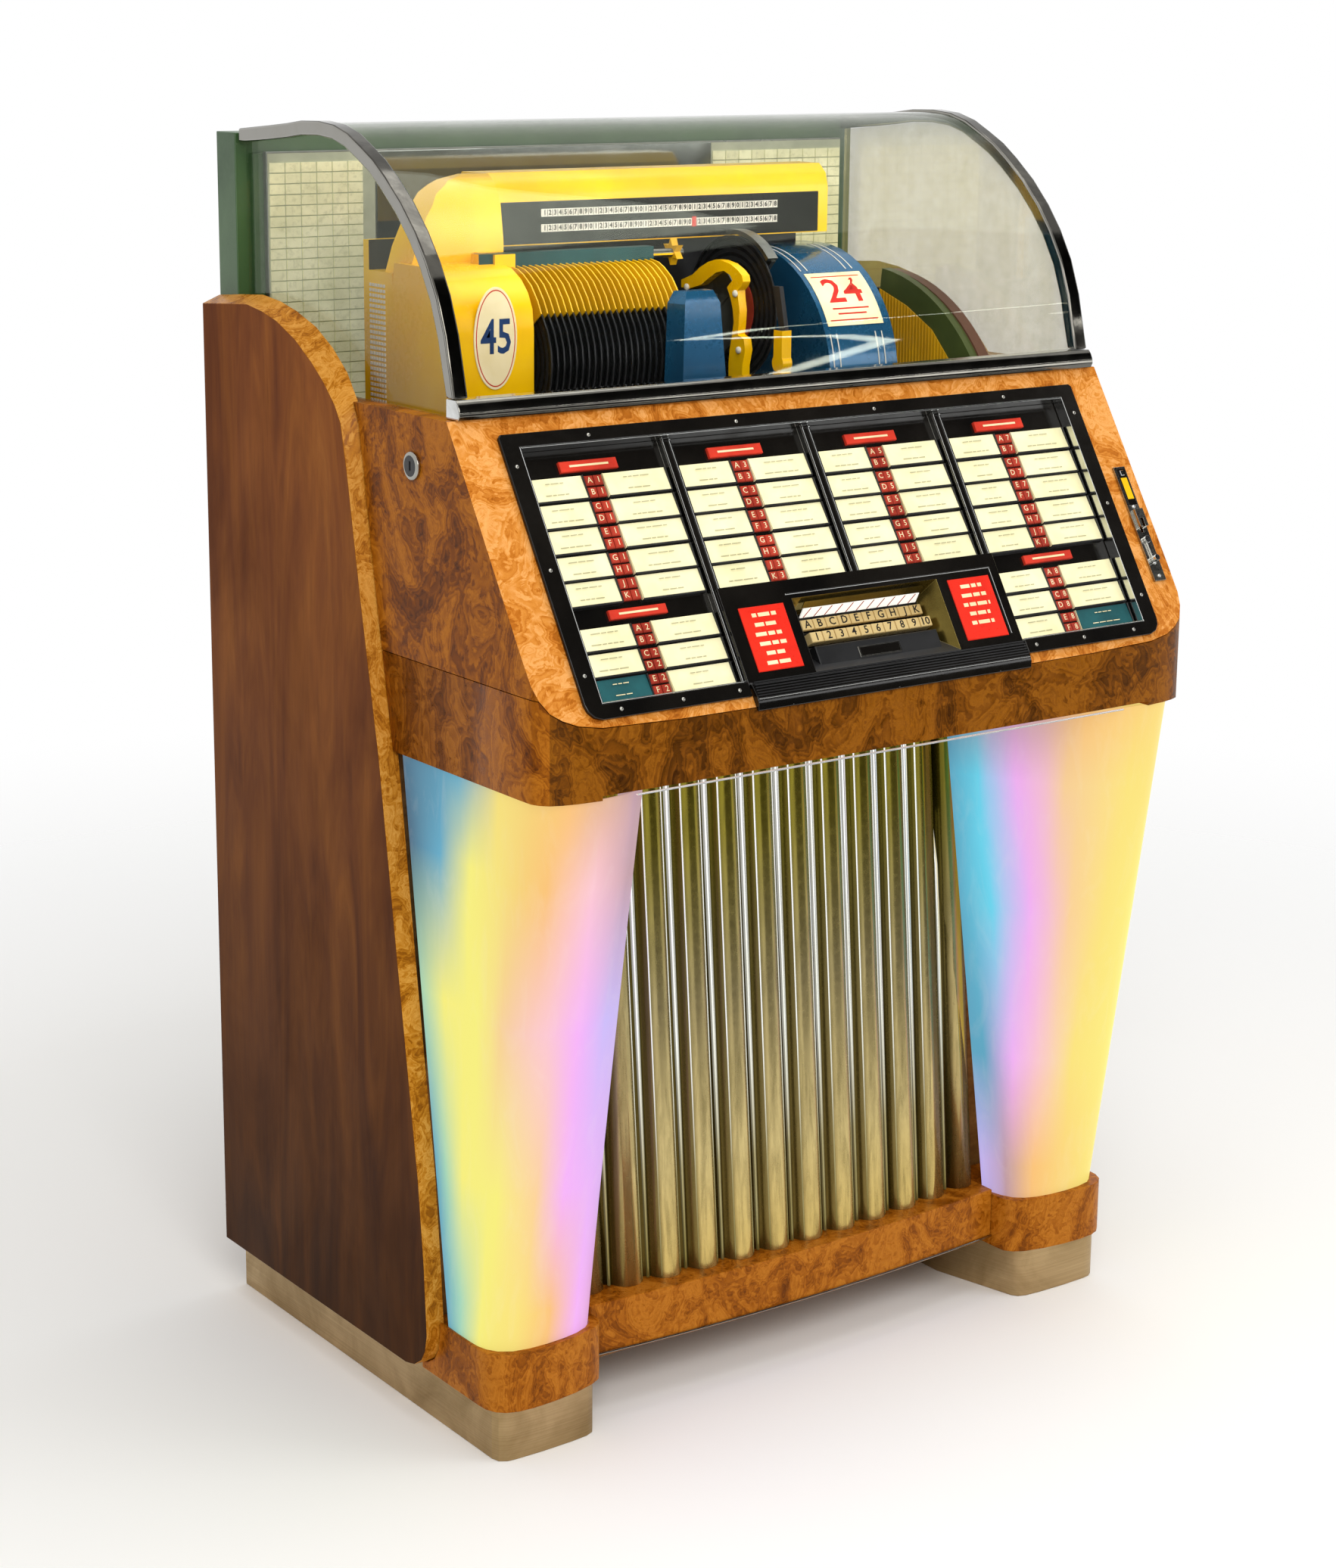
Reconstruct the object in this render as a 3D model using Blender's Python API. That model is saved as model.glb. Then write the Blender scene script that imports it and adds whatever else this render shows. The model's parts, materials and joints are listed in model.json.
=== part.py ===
"""Selector jukebox of the 45-rpm years, built as separate named pieces.

+X is the viewer's right, the front faces -Y, +Z is up, metres.
The origin is on the floor under the middle of the cabinet's box.
"""
import math

import bmesh
import bpy

# Overall size
WIDTH = 0.965
DEPTH = 0.730
HEIGHT = 1.466

# The side, front and plan drawings are read on a grid of stations across, back and up.
GRID_WIDE = 965.0
GRID_DEEP = 730.0
GRID_HIGH = 1466.0
GRID_MIDDLE = 192.0

# Working clearances
SEAT = 0.0003
SLIP = 0.0005
REVEAL = 0.0010

# Boards and sheets
PANEL_THICK = 0.0225
BOARD = 0.018
FRONT_BOARD = 0.020
GLASS = 0.004
GLASS_INSET = 0.003
SHELL = 0.003
CHEEK_STEP = 0.0155

# Round pieces
RECORD_RADIUS = 0.0873
RECORD_THICK = 0.0020
RECORD_PITCH = 0.0085
RECORD_HUB = 0.019
COMB_BLADE = 0.0018
TUBE_RADIUS = 0.021
LAMP_RADIUS = 0.0125
DRUM_RADIUS = 0.027
DRUM_WALL = 0.0015
SPEAKER_RADIUS = 0.155
SHAFT_RADIUS = 0.008
FLYWHEEL_RADIUS = 0.055
LOCK_RADIUS = 0.0115
LOCK_FLANGE = 0.0155

# Keys
KEY_PITCH = 0.01755
KEY_WIDE = 0.0166
KEY_HIGH = 0.0122
KEY_THICK = 0.0055
KEY_STEM = 0.0040
KEY_STEM_LONG = 0.0125
KEY_DISH = 0.0010
KEY_MARGIN = 0.00225
RECESS_FLARE = 0.015

# A cutter that lies too near a face is moved by one of these hairs and tried again.
HAIRS = (0.0, 0.00002, -0.00002, 0.00005, -0.00005, 0.0001, -0.0001)

RECORD_COUNT = 24
TUBE_COUNT = 12
KEY_COUNT = 10
LETTERS = "abcdefghjk"


def ax(station):
    return WIDTH * station / GRID_WIDE


def dy(station):
    return DEPTH * (station - GRID_MIDDLE) / GRID_DEEP


def dl(length):
    return DEPTH * length / GRID_DEEP


def hz(station):
    return HEIGHT * station / GRID_HIGH


def yz(points):
    return [(dy(p[0]), hz(p[1])) for p in points]


def xy(points):
    return [(ax(p[0]), dy(p[1])) for p in points]


for old in list(bpy.data.objects):
    bpy.data.objects.remove(old, do_unlink=True)

MATERIALS = {}


def material(name, colour, rough, metal=0.0, alpha=1.0):
    found = MATERIALS.get(name)
    if found is None:
        found = bpy.data.materials.new(name)
        found.use_nodes = True
        shader = found.node_tree.nodes["Principled BSDF"]
        shader.inputs["Base Color"].default_value = (colour[0], colour[1], colour[2], 1.0)
        shader.inputs["Roughness"].default_value = rough
        shader.inputs["Metallic"].default_value = metal
        shader.inputs["Alpha"].default_value = alpha
        found.diffuse_color = (colour[0], colour[1], colour[2], alpha)
        MATERIALS[name] = found
    return found


def solid(name, verts, faces):
    mesh = bpy.data.meshes.new(name)
    mesh.from_pydata([tuple(v) for v in verts], [], [tuple(f) for f in faces])
    mesh.validate()
    mesh.update()
    made = bpy.data.objects.new(name, mesh)
    bpy.context.collection.objects.link(made)
    return made


def turned_out(points):
    area = 0.0
    for i, p in enumerate(points):
        q = points[(i + 1) % len(points)]
        area += p[0] * q[1] - q[0] * p[1]
    return list(points) if area > 0 else list(reversed(points))


def rings(name, loops, split=False):
    """Closed body through loops of points, each loop counter-clockwise seen from the last loop's side."""
    count = len(loops[0])
    verts = [v for loop in loops for v in loop]
    faces = [tuple(reversed(range(count)))]
    for k in range(len(loops) - 1):
        low = k * count
        high = low + count
        for i in range(count):
            j = (i + 1) % count
            if split:
                faces.append((low + i, low + j, high + j))
                faces.append((low + i, high + j, high + i))
            else:
                faces.append((low + i, low + j, high + j, high + i))
    last = (len(loops) - 1) * count
    faces.append(tuple(last + i for i in range(count)))
    return solid(name, verts, faces)


def prism(name, outline, axis, low, high):
    pts = turned_out(outline)
    if axis == "Z":
        return rings(name, [[(p[0], p[1], z) for p in pts] for z in (low, high)])
    if axis == "X":
        return rings(name, [[(x, p[0], p[1]) for p in pts] for x in (low, high)])
    return rings(name, [[(p[0], y, p[1]) for p in pts] for y in (high, low)])


def box(name, x0, x1, y0, y1, z0, z1):
    return prism(name, [(x0, y0), (x1, y0), (x1, y1), (x0, y1)], "Z", z0, z1)


def arc(centre, radius, start, end, steps):
    points = []
    for i in range(steps + 1):
        t = math.radians(start + (end - start) * i / steps)
        points.append((centre[0] + radius * math.cos(t), centre[1] + radius * math.sin(t)))
    return points


def disc(name, axis, centre, radius, low, high, steps=32):
    outline = arc(centre, radius, 0, 360, steps)[:-1]
    return prism(name, outline, axis, low, high)


def lathe(name, axis, centre, profile, steps=32):
    """Body turned about an axis; the profile is (along, radius) pairs and starts and ends on the axis side."""
    loops = []
    for along, radius in profile:
        ring = arc(centre, radius, 0, 360, steps)[:-1]
        if axis == "X":
            loops.append([(along, p[0], p[1]) for p in ring])
        elif axis == "Z":
            loops.append([(p[0], p[1], along) for p in ring])
        else:
            loops.append([(p[0], along, p[1]) for p in reversed(ring)])
    return rings(name, loops)


def sleeve(name, axis, centre, inner, outer, low, high, steps=32):
    """Round pipe with a wall."""
    body = disc(name, axis, centre, outer, low, high, steps)
    reach = (high - low) * 0.1
    return cut(body, [disc(name + "_bore", axis, centre, inner, low - reach, high + reach, steps)])


def sound(mesh):
    """True for a closed mesh with something in it."""
    probe = bmesh.new()
    probe.from_mesh(mesh)
    closed = all(edge.is_manifold for edge in probe.edges)
    volume = probe.calc_volume()
    probe.free()
    return closed and volume > SEAT ** 3


def combine(target, others, operation):
    if not others:
        return target
    for other in others:
        made = target.modifiers.new("join", "BOOLEAN")
        made.operation = operation
        made.solver = "EXACT"
        made.object = other
    mesh = None
    for hair in HAIRS:
        for k, other in enumerate(others):
            other.location = (hair * (1 + k % 3), hair * 0.7, -hair)
        bpy.context.view_layer.update()
        graph = bpy.context.evaluated_depsgraph_get()
        mesh = bpy.data.meshes.new_from_object(target.evaluated_get(graph))
        if sound(mesh):
            break
    target.modifiers.clear()
    target.data = mesh
    for other in others:
        bpy.data.objects.remove(other, do_unlink=True)
    return target


def union(target, others):
    return combine(target, others, "UNION")


def cut(target, others):
    return combine(target, others, "DIFFERENCE")


def keep(target, others):
    return combine(target, others, "INTERSECT")


def finish(obj, name, mat, smooth=False):
    obj.name = name
    obj.data.name = name
    obj.data.materials.clear()
    obj.data.materials.append(mat)
    for face in obj.data.polygons:
        face.use_smooth = smooth
        face.material_index = 0
    return obj


def mirrored(obj, name):
    """Copy of a body on the other side of the middle plane."""
    mesh = obj.data
    verts = [(-v.co.x, v.co.y, v.co.z) for v in mesh.vertices]
    faces = [tuple(reversed(face.vertices)) for face in mesh.polygons]
    made = solid(name, verts, faces)
    return made


def put_origin(obj, point):
    """Moves the object's origin to the joint without moving its body."""
    for v in obj.data.vertices:
        v.co.x -= point[0]
        v.co.y -= point[1]
        v.co.z -= point[2]
    obj.location = point
    return obj


# Colours of the pieces
WALNUT = material("walnut", (0.17, 0.055, 0.022), 0.35)
BURL = material("burl veneer", (0.42, 0.17, 0.045), 0.25)
PLYWOOD = material("plywood", (0.35, 0.22, 0.11), 0.7)
STEEL = material("satin steel", (0.55, 0.50, 0.42), 0.35, 1.0)
CHROME = material("chrome", (0.78, 0.78, 0.78), 0.08, 1.0)
GOLD = material("gold mirror tube", (0.55, 0.45, 0.20), 0.15, 1.0)
BLACK = material("black enamel", (0.012, 0.012, 0.013), 0.2)
CREAM = material("cream card", (0.80, 0.76, 0.50), 0.6)
TAN = material("tan key", (0.62, 0.52, 0.30), 0.35)
GLOW = material("lit plastic", (0.90, 0.80, 0.62), 0.4)
CLEAR = material("clear glass", (0.85, 0.88, 0.80), 0.03, 0.0, 0.3)
YELLOW = material("yellow enamel", (0.85, 0.55, 0.03), 0.25)
BLUE = material("blue enamel", (0.03, 0.15, 0.26), 0.25)
GREEN = material("green enamel", (0.10, 0.19, 0.08), 0.4)
MIRROR = material("mirror tile", (0.75, 0.77, 0.68), 0.05, 1.0)
VINYL = material("record vinyl", (0.01, 0.01, 0.01), 0.25)
PAPER = material("speaker paper", (0.05, 0.045, 0.04), 0.9)
GREY = material("grey casting", (0.33, 0.34, 0.31), 0.4, 0.6)

INNER = WIDTH / 2 - PANEL_THICK
BODY = INNER - SLIP
WALL = BODY - BOARD
CHEEK = WIDTH / 2 - CHEEK_STEP


def offset_path(path, distance):
    """Open path moved sideways to its right by a distance."""
    moved = []
    for i, p in enumerate(path):
        a = path[max(i - 1, 0)]
        b = path[min(i + 1, len(path) - 1)]
        tx = b[0] - a[0]
        ty = b[1] - a[1]
        size = math.hypot(tx, ty)
        moved.append((p[0] + ty / size * distance, p[1] - tx / size * distance))
    return moved


def grown(outline, distance):
    """Closed outline moved outward by a distance."""
    pts = turned_out(outline)
    ring = [pts[-1]] + pts + [pts[0]]
    return offset_path(ring, distance)[1:-1]


# Side panels: the outer face is a little smaller than the inner, so the edge is bevelled.
PANEL_OUTER = yz([
    (549, 68.5), (549, 1247), (495, 1251), (440, 1255), (404, 1250), (370, 1242), (328, 1225), (291, 1203),
    (264, 1183), (241, 1161), (228, 1142), (216, 1090), (190, 950), (155, 778), (118, 540), (80, 302),
    (69, 200), (64, 118), (68, 98), (76, 84), (92, 73), (111, 68.5)])
PANEL_INNER = yz([
    (549, 68.5), (549, 1256), (495, 1261), (440, 1265), (400, 1261), (362, 1253), (318, 1239), (281, 1219),
    (250, 1195), (228, 1166), (216, 1142), (206, 1090), (182, 950), (149, 778), (115, 540), (78, 302),
    (68, 200), (62, 118), (66, 98), (74, 84), (91, 73), (111, 68.5)])
panel = rings("right_side_panel", [
    [(INNER, p[0], p[1]) for p in turned_out(PANEL_INNER)],
    [(WIDTH / 2, p[0], p[1]) for p in turned_out(PANEL_OUTER)]], True)
finish(mirrored(panel, "left_side_panel"), "left_side_panel", WALNUT)
finish(panel, "right_side_panel", WALNUT)


def rebates(name):
    """The room the two side panels take, with a little air round their edges."""
    edge = grown(PANEL_INNER, REVEAL)
    return [prism(name + "_right", edge, "X", BODY, WIDTH), prism(name + "_left", edge, "X", -WIDTH, -BODY)]


# Kick plates with the front feet
FOOT_TOP = hz(62)
FOOT_PLAN = xy([
    (457.5, 546), (457.5, -33), (454.5, -43), (446, -48.5), (436, -50), (400, -51), (360, -50), (338, -48),
    (328, -44), (323, -37), (320, -26), (295, 75), (295, 110), (438, 110), (438, 546)])
foot = prism("right_kick_foot", FOOT_PLAN, "Z", 0, FOOT_TOP)
finish(mirrored(foot, "left_kick_foot"), "left_kick_foot", STEEL)
finish(foot, "right_kick_foot", STEEL)

# Pilasters: translucent shells, wide under the apron and narrow in the foot cups
PIL_TOP = xy([
    (460.5, 140), (461, 90), (461, 40), (461, -15), (461, -70), (460.5, -100), (457, -120), (446, -137),
    (428, -147), (403, -151), (375, -150.5), (347, -143), (322, -124), (298, -93), (272, -48), (250, -6),
    (237, 30)])
PIL_LOW = xy([
    (460, 52), (460.5, 40), (461, 27), (461, 14), (461, 0), (460.5, -12), (457.5, -24), (450, -36),
    (437, -44.5), (418, -48.5), (395, -49.5), (372, -48), (352, -44.5), (337, -38.5), (326.5, -30), (320, -17),
    (313, 12)])
CUP_FLOOR = hz(120)
PIL_Z0 = CUP_FLOOR + SEAT
PIL_Z1 = hz(784) - SEAT
PIL_RINGS = 6


def blend(low, high, share):
    return [(a[0] + (b[0] - a[0]) * share, a[1] + (b[1] - a[1]) * share) for a, b in zip(low, high)]


loops = []
for k in range(PIL_RINGS + 1):
    share = k / PIL_RINGS
    path = blend(PIL_LOW, PIL_TOP, share)
    inside = offset_path(path, SHELL)
    if math.hypot(inside[8][0] - ax(400), inside[8][1] - dy(60)) > math.hypot(
            path[8][0] - ax(400), path[8][1] - dy(60)):
        inside = offset_path(path, -SHELL)
    loop = list(reversed(path)) + inside
    z = PIL_Z0 + (PIL_Z1 - PIL_Z0) * share
    loops.append([(p[0], p[1], z) for p in turned_out(loop)])
pilaster = rings("right_pilaster", loops, True)
finish(mirrored(pilaster, "left_pilaster"), "left_pilaster", GLOW)
finish(pilaster, "right_pilaster", GLOW)

# Foot cups: veneered blocks with a pocket for the pilaster
CUP_Z0 = FOOT_TOP + SEAT
CUP_Z1 = hz(131)
CUP_PLAN = [(CHEEK - SEAT, dy(100))] + xy([
    (466.7, -20), (465.5, -34), (460, -46), (451, -54), (438, -59), (418, -61), (390, -60), (358, -56),
    (332, -49), (318, -42), (310.5, -32), (309.3, -12), (309.3, 100)])
cup = prism("right_foot_cup", CUP_PLAN, "Z", CUP_Z0, CUP_Z1)
pocket_path = offset_path(PIL_LOW, -REVEAL * 2)
if math.hypot(pocket_path[8][0] - ax(400), pocket_path[8][1] - dy(60)) < math.hypot(
        PIL_LOW[8][0] - ax(400), PIL_LOW[8][1] - dy(60)):
    pocket_path = offset_path(PIL_LOW, REVEAL * 2)
pocket_plan = [(pocket_path[0][0], dy(108))] + pocket_path + [(pocket_path[-1][0], dy(108))]
pocket = prism("cup_pocket", pocket_plan, "Z", CUP_FLOOR, CUP_Z1 + BOARD)
cut(cup, [pocket] + rebates("cup_rebate"))
finish(mirrored(cup, "left_foot_cup"), "left_foot_cup", BURL)
finish(cup, "right_foot_cup", BURL)

# Bottom rail between the cups, bowed forward
RAIL_HALF = 309.0
RAIL_STEPS = 16
rail_plan = []
for i in range(RAIL_STEPS + 1):
    s = -RAIL_HALF + 2 * RAIL_HALF * i / RAIL_STEPS
    rail_plan.append((s, -25 + 0.00016 * s * s))
rail_plan += [(RAIL_HALF, 60), (-RAIL_HALF, 60)]
RAIL_Z1 = hz(138)
rail = prism("bottom_rail", xy(rail_plan), "Z", hz(73), RAIL_Z1)
finish(rail, "bottom_rail", BURL)

# Grille: twelve half-round tubes in one sheet, bowed and leaning back
TUBE_PITCH = 51.7
TUBE_STEPS = 8
GRILLE_BACK = 27.0
LEAN = dl(58)


def crest(station):
    return dy(-7 + 0.00025 * station * station)


front_path = []
for i in range(TUBE_COUNT):
    s = (i - (TUBE_COUNT - 1) / 2) * TUBE_PITCH
    for j in range(TUBE_STEPS + 1):
        t = math.radians(-80 + 160 * j / TUBE_STEPS)
        front_path.append((ax(s) + TUBE_RADIUS * math.sin(t),
                           crest(s) + TUBE_RADIUS * (1 - math.cos(t))))
grille_edge = front_path[-1][0] + TUBE_RADIUS * 0.05
back_path = []
for i in range(RAIL_STEPS + 1):
    x = grille_edge - 2 * grille_edge * i / RAIL_STEPS
    station = x * GRID_WIDE / WIDTH
    back_path.append((x, crest(station) + dl(GRILLE_BACK)))
grille_plan = front_path + back_path
GRILLE_Z0 = RAIL_Z1 + SEAT
GRILLE_Z1 = hz(810)
lean_path = [(p[0], p[1] + LEAN) for p in grille_plan]
low_loop = turned_out(grille_plan)
high_loop = turned_out(lean_path)
grille = rings("grille", [
    [(p[0], p[1], GRILLE_Z0) for p in low_loop],
    [(p[0], p[1], GRILLE_Z1) for p in high_loop]])
trim_plan = [
    (ax(-309), hz(120)), (ax(309), hz(120)), (ax(309), hz(138)), (ax(228), hz(830)), (ax(-228), hz(830)),
    (ax(-309), hz(138))]
keep(grille, [prism("grille_trim", trim_plan, "Y", dy(-60), dy(160))])
finish(grille, "grille", GOLD)

# Apron: the veneered belt under the lid, with round front corners
FRONT_Y = dy(-160)
APRON_BACK = dy(204.7)
LID_SEAM = hz(895)
APRON_Z0 = hz(784)

# The slanted front plane, given by its top edge and its fall
SLANT_TOP = (dy(32), hz(1165))
SLANT_LOW = (dy(-157), hz(863.5))
SLANT_LONG = math.hypot(SLANT_TOP[0] - SLANT_LOW[0], SLANT_TOP[1] - SLANT_LOW[1])
UP = ((SLANT_TOP[0] - SLANT_LOW[0]) / SLANT_LONG, (SLANT_TOP[1] - SLANT_LOW[1]) / SLANT_LONG)
OUT = (-UP[1], UP[0])
GRID_SLANT = 355.9


def down(station):
    return SLANT_LONG * station / GRID_SLANT


def slanted(x, fall, height):
    """Point on the slanted front: across, down the slope from its top edge, out of the plane."""
    return (x, SLANT_TOP[0] - UP[0] * fall + OUT[0] * height, SLANT_TOP[1] - UP[1] * fall + OUT[1] * height)


def slant_prism(name, outline, low, high):
    """Outline of (across, down) pairs raised out of the slanted plane."""
    pts = list(reversed(turned_out(outline)))
    return rings(name, [[slanted(p[0], p[1], h) for p in pts] for h in (low, high)])


def slant_box(name, x0, x1, s0, s1, h0, h1):
    return slant_prism(name, [(x0, s0), (x1, s0), (x1, s1), (x0, s1)], h0, h1)


# Front corner of the body in plan: distance in from the cheek, distance back from the front, 18 to a board's thickness
CORNER = [(0, 52), (0.6, 32), (4.5, 23), (12.5, 15), (25, 9.8), (42, 5.6), (71, 2.6), (167, 0.9)]
CORNER_GRID = 18.0


def body_plan(inset, back):
    """Open plan line from the left back corner round the front to the right back corner."""
    unit = BOARD / CORNER_GRID
    side = [(CHEEK - unit * c[0], FRONT_Y + unit * c[1]) for c in CORNER]
    line = [(-CHEEK, back), (-CHEEK, back * 0.5 + side[0][1] * 0.5)]
    line += [(-p[0], p[1]) for p in side]
    line += [(0, FRONT_Y)]
    line += list(reversed(side))
    line += [(CHEEK, back * 0.5 + side[0][1] * 0.5), (CHEEK, back)]
    return offset_path(line, -inset) if inset else line


def plane_height(y, lower):
    """Height of the slanted plane above a plan point, taken a little lower."""
    return SLANT_TOP[1] - (SLANT_TOP[0] - y) * UP[1] / UP[0] - lower


def belt(name, outset, thick, back, rise, base):
    outer = body_plan(-outset, back)
    true = body_plan(0, back)
    inner = body_plan(thick, back)
    lips = []
    for p in true:
        lips.append(min(LID_SEAM, plane_height(p[1], REVEAL)) + rise)
    count = len(outer)
    verts = []
    for i in range(count):
        verts += [(outer[i][0], outer[i][1], base), (outer[i][0], outer[i][1], lips[i]),
                  (inner[i][0], inner[i][1], lips[i]), (inner[i][0], inner[i][1], base)]
    faces = [(0, 1, 2, 3), (4 * count - 1, 4 * count - 2, 4 * count - 3, 4 * count - 4)]
    for i in range(count - 1):
        a = 4 * i
        b = a + 4
        for k in range(4):
            m = (k + 1) % 4
            faces.append((a + k, b + k, b + m))
            faces.append((a + k, b + m, a + m))
    return solid(name, verts, faces)


apron = belt("apron", 0, BOARD, APRON_BACK, -REVEAL * 0.5, APRON_Z0)
cut(apron, [box("apron_arch", ax(-396), ax(396), dy(-180), dy(-120), hz(770), hz(789))] + rebates("apron_rebate"))
finish(apron, "apron", BURL)

# Lid frame: slanted front board and two side boards in one glued frame
LID_BACK = dy(498)
LID_TOP = hz(1165)
lid_line = body_plan(0, LID_BACK)
lid = prism("lid_frame", lid_line, "Z", hz(850), LID_TOP)
far = HEIGHT
over = slant_box("over_slant", -WIDTH, WIDTH, -far, far, 0, far)
cut(lid, [over])
behind = slant_box("lid_hollow", -WALL, WALL, -far, far, -far * 2, -FRONT_BOARD)
cut(lid, [behind])
for sign in (-1, 1):
    low_x, high_x = sorted((sign * ax(360), sign * (CHEEK - BOARD * 0.5)))
    cut(lid, [box("tongue_low", low_x, high_x, dy(-143.5), dy(-112), hz(790), hz(883))])
cut(lid, [box("tongue_middle", ax(-365), ax(365), dy(-143.5), dy(-112), hz(780), hz(861))])
below = box("lid_under", -WIDTH, WIDTH, dy(-118), dy(700), hz(800), LID_SEAM + SLIP)
lower = slant_box("lid_under_front", -WIDTH, WIDTH, -far, far, -FRONT_BOARD, far)
cut(below, [lower])
cut(lid, [below])
cut(lid, [belt("lid_seat", REVEAL, BOARD + REVEAL, APRON_BACK, SLIP, hz(810))])
for sign in (-1, 1):
    low_x, high_x = sorted((sign * ax(415), sign * (CHEEK - BOARD * 0.7)))
    cut(lid, [box("tongue_high", low_x, high_x, dy(-133), dy(-100), hz(770), hz(897))])
cut(lid, rebates("lid_rebate"))
window = slant_box("title_opening", ax(-400), ax(400), down(30), down(340), -BOARD * 3, BOARD)
cut(lid, [window])
coin_bed = slant_box("coin_opening", ax(438), ax(448), down(215), down(221), -BOARD * 3, BOARD)
cut(lid, [coin_bed])
LOCK = (dy(100), hz(1110))
cut(lid, [disc("lock_bore", "X", LOCK, LOCK_RADIUS + SEAT * 2, -CHEEK - BOARD, -WALL + BOARD)])
finish(lid, "lid_frame", BURL)

# Lock on the left side of the lid
lock = lathe("lid_lock", "X", LOCK, [
    (-CHEEK - LOCK_RADIUS * 0.40, LOCK_FLANGE * 0.75), (-CHEEK - LOCK_RADIUS * 0.30, LOCK_FLANGE),
    (-CHEEK - SEAT, LOCK_FLANGE), (-CHEEK - SEAT, LOCK_RADIUS), (-WALL + BOARD * 0.5, LOCK_RADIUS)], 24)
key_slot = box("key_slot", -CHEEK - LOCK_FLANGE, -CHEEK - LOCK_RADIUS * 0.2, LOCK[0] - LOCK_RADIUS * 0.12,
               LOCK[0] + LOCK_RADIUS * 0.12, LOCK[1] - LOCK_RADIUS * 0.45, LOCK[1] + LOCK_RADIUS * 0.45)
cut(lock, [key_slot])
put_origin(finish(lock, "lid_lock", CHROME), (-CHEEK, LOCK[0], LOCK[1]))

# Dome: the curve of the glass from the sill over to the hinge
DOME_LINE = yz([
    (34.5, 1187.5), (44, 1225), (51, 1253), (67, 1294), (88, 1329), (111, 1358), (140, 1387), (172, 1412),
    (197, 1429), (223, 1442), (251, 1455), (281, 1463), (315, 1466), (355, 1465), (388, 1461),
    (430, 1457), (465, 1454), (500, 1451)])
ARCH_DEEP = 0.016
ARCH_IN = ax(437.5)
ARCH_OUT = ax(456.5)
SILL_TOP = hz(1187)


def inward(line, distance):
    moved = offset_path(line, distance)
    middle = len(line) // 2
    if moved[middle][1] > line[middle][1]:
        moved = offset_path(line, -distance)
    return moved


def level_ends(line, low_z, back_y):
    line = list(line)
    line[0] = (line[0][0], low_z)
    line[-1] = (back_y, line[-1][1])
    return line


def dome_band(name, outer_in, inner_in, x0, x1):
    outer = level_ends(inward(DOME_LINE, outer_in) if outer_in else DOME_LINE, SILL_TOP + SEAT, dy(500))
    inner = level_ends(inward(DOME_LINE, inner_in), SILL_TOP + SEAT, dy(500))
    return prism(name, outer + list(reversed(inner)), "X", x0, x1)


arch = dome_band("right_arch", 0, ARCH_DEEP, ARCH_IN, ARCH_OUT)
finish(mirrored(arch, "left_arch"), "left_arch", CHROME)
finish(arch, "right_arch", CHROME)
glass = dome_band("dome_glass", GLASS_INSET, GLASS_INSET + GLASS, -ARCH_IN + SEAT, ARCH_IN - SEAT)
finish(glass, "dome_glass", CLEAR, False)
side_top = level_ends(inward(DOME_LINE, ARCH_DEEP + SEAT), SILL_TOP + SEAT, dy(497))
side_line = side_top + [(dy(497), LID_TOP + SEAT), (side_top[0][0], LID_TOP + SEAT)]
side = prism("right_side_glass", side_line, "X", ax(444), ax(444) + GLASS)
finish(mirrored(side, "left_side_glass"), "left_side_glass", CLEAR)
finish(side, "right_side_glass", CLEAR)
sill_line = yz([(26, 1165.3), (50, 1165.3), (50, 1187), (31, 1187), (27, 1183), (24, 1177), (23, 1171)])
sill = prism("dome_sill", sill_line, "X", -ARCH_OUT, ARCH_OUT)
finish(sill, "dome_sill", CHROME)

# Title frame on the slanted front, open below for the keyboard
FRAME_FACE = 0.0050
RACK_TOP = -0.0120
RACK_THICK = 0.0080
FRAME_HALF = ax(413.2)
frame_outer = [(-FRAME_HALF, down(25)), (-FRAME_HALF + ax(3), down(21.7)), (FRAME_HALF - ax(3), down(21.7)),
               (FRAME_HALF, down(25)), (FRAME_HALF, down(331)), (FRAME_HALF - ax(2), down(339)),
               (FRAME_HALF - ax(8), down(346)), (FRAME_HALF - ax(18), down(349.4)),
               (-FRAME_HALF + ax(18), down(349.4)), (-FRAME_HALF + ax(8), down(346)),
               (-FRAME_HALF + ax(2), down(339)), (-FRAME_HALF, down(331))]
title = slant_prism("title_frame", frame_outer, SEAT, FRAME_FACE)
inner_wall = slant_box("title_wall", ax(-397), ax(397), down(33), down(337.5), RACK_TOP + SEAT, FRAME_FACE * 0.6)
union(title, [inner_wall])
cut(title, [slant_box("title_view", ax(-391), ax(391), down(38), down(332.5), -BOARD * 2, BOARD)])
KEYS_HALF = ax(199.2)
NOTCH_HALF = KEYS_HALF + REVEAL
NOTCH_TOP = down(222.8) - REVEAL
cut(title, [slant_box("title_notch", -NOTCH_HALF, NOTCH_HALF, NOTCH_TOP, down(400), -BOARD * 2, BOARD)])
finish(title, "title_frame", CHROME)

# Title rack: card board with mullions and card steps
rack = slant_box("title_rack", ax(-399.4), ax(399.4), down(30.6), down(339.4), RACK_TOP - RACK_THICK, RACK_TOP)
raised = []
MULLION = ax(6)
for s in (-196, 0, 196):
    end = down(222) if s == 0 else down(332)
    raised.append(slant_box("mullion", ax(s) - MULLION, ax(s) + MULLION, down(38.5), end,
                            RACK_TOP - RACK_THICK * 0.5, -RACK_THICK * 0.5))
union(rack, raised)
cut(rack, [slant_box("rack_notch", -NOTCH_HALF, NOTCH_HALF, NOTCH_TOP, down(400), -BOARD * 3, BOARD)])
finish(rack, "title_rack", CREAM)

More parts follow.
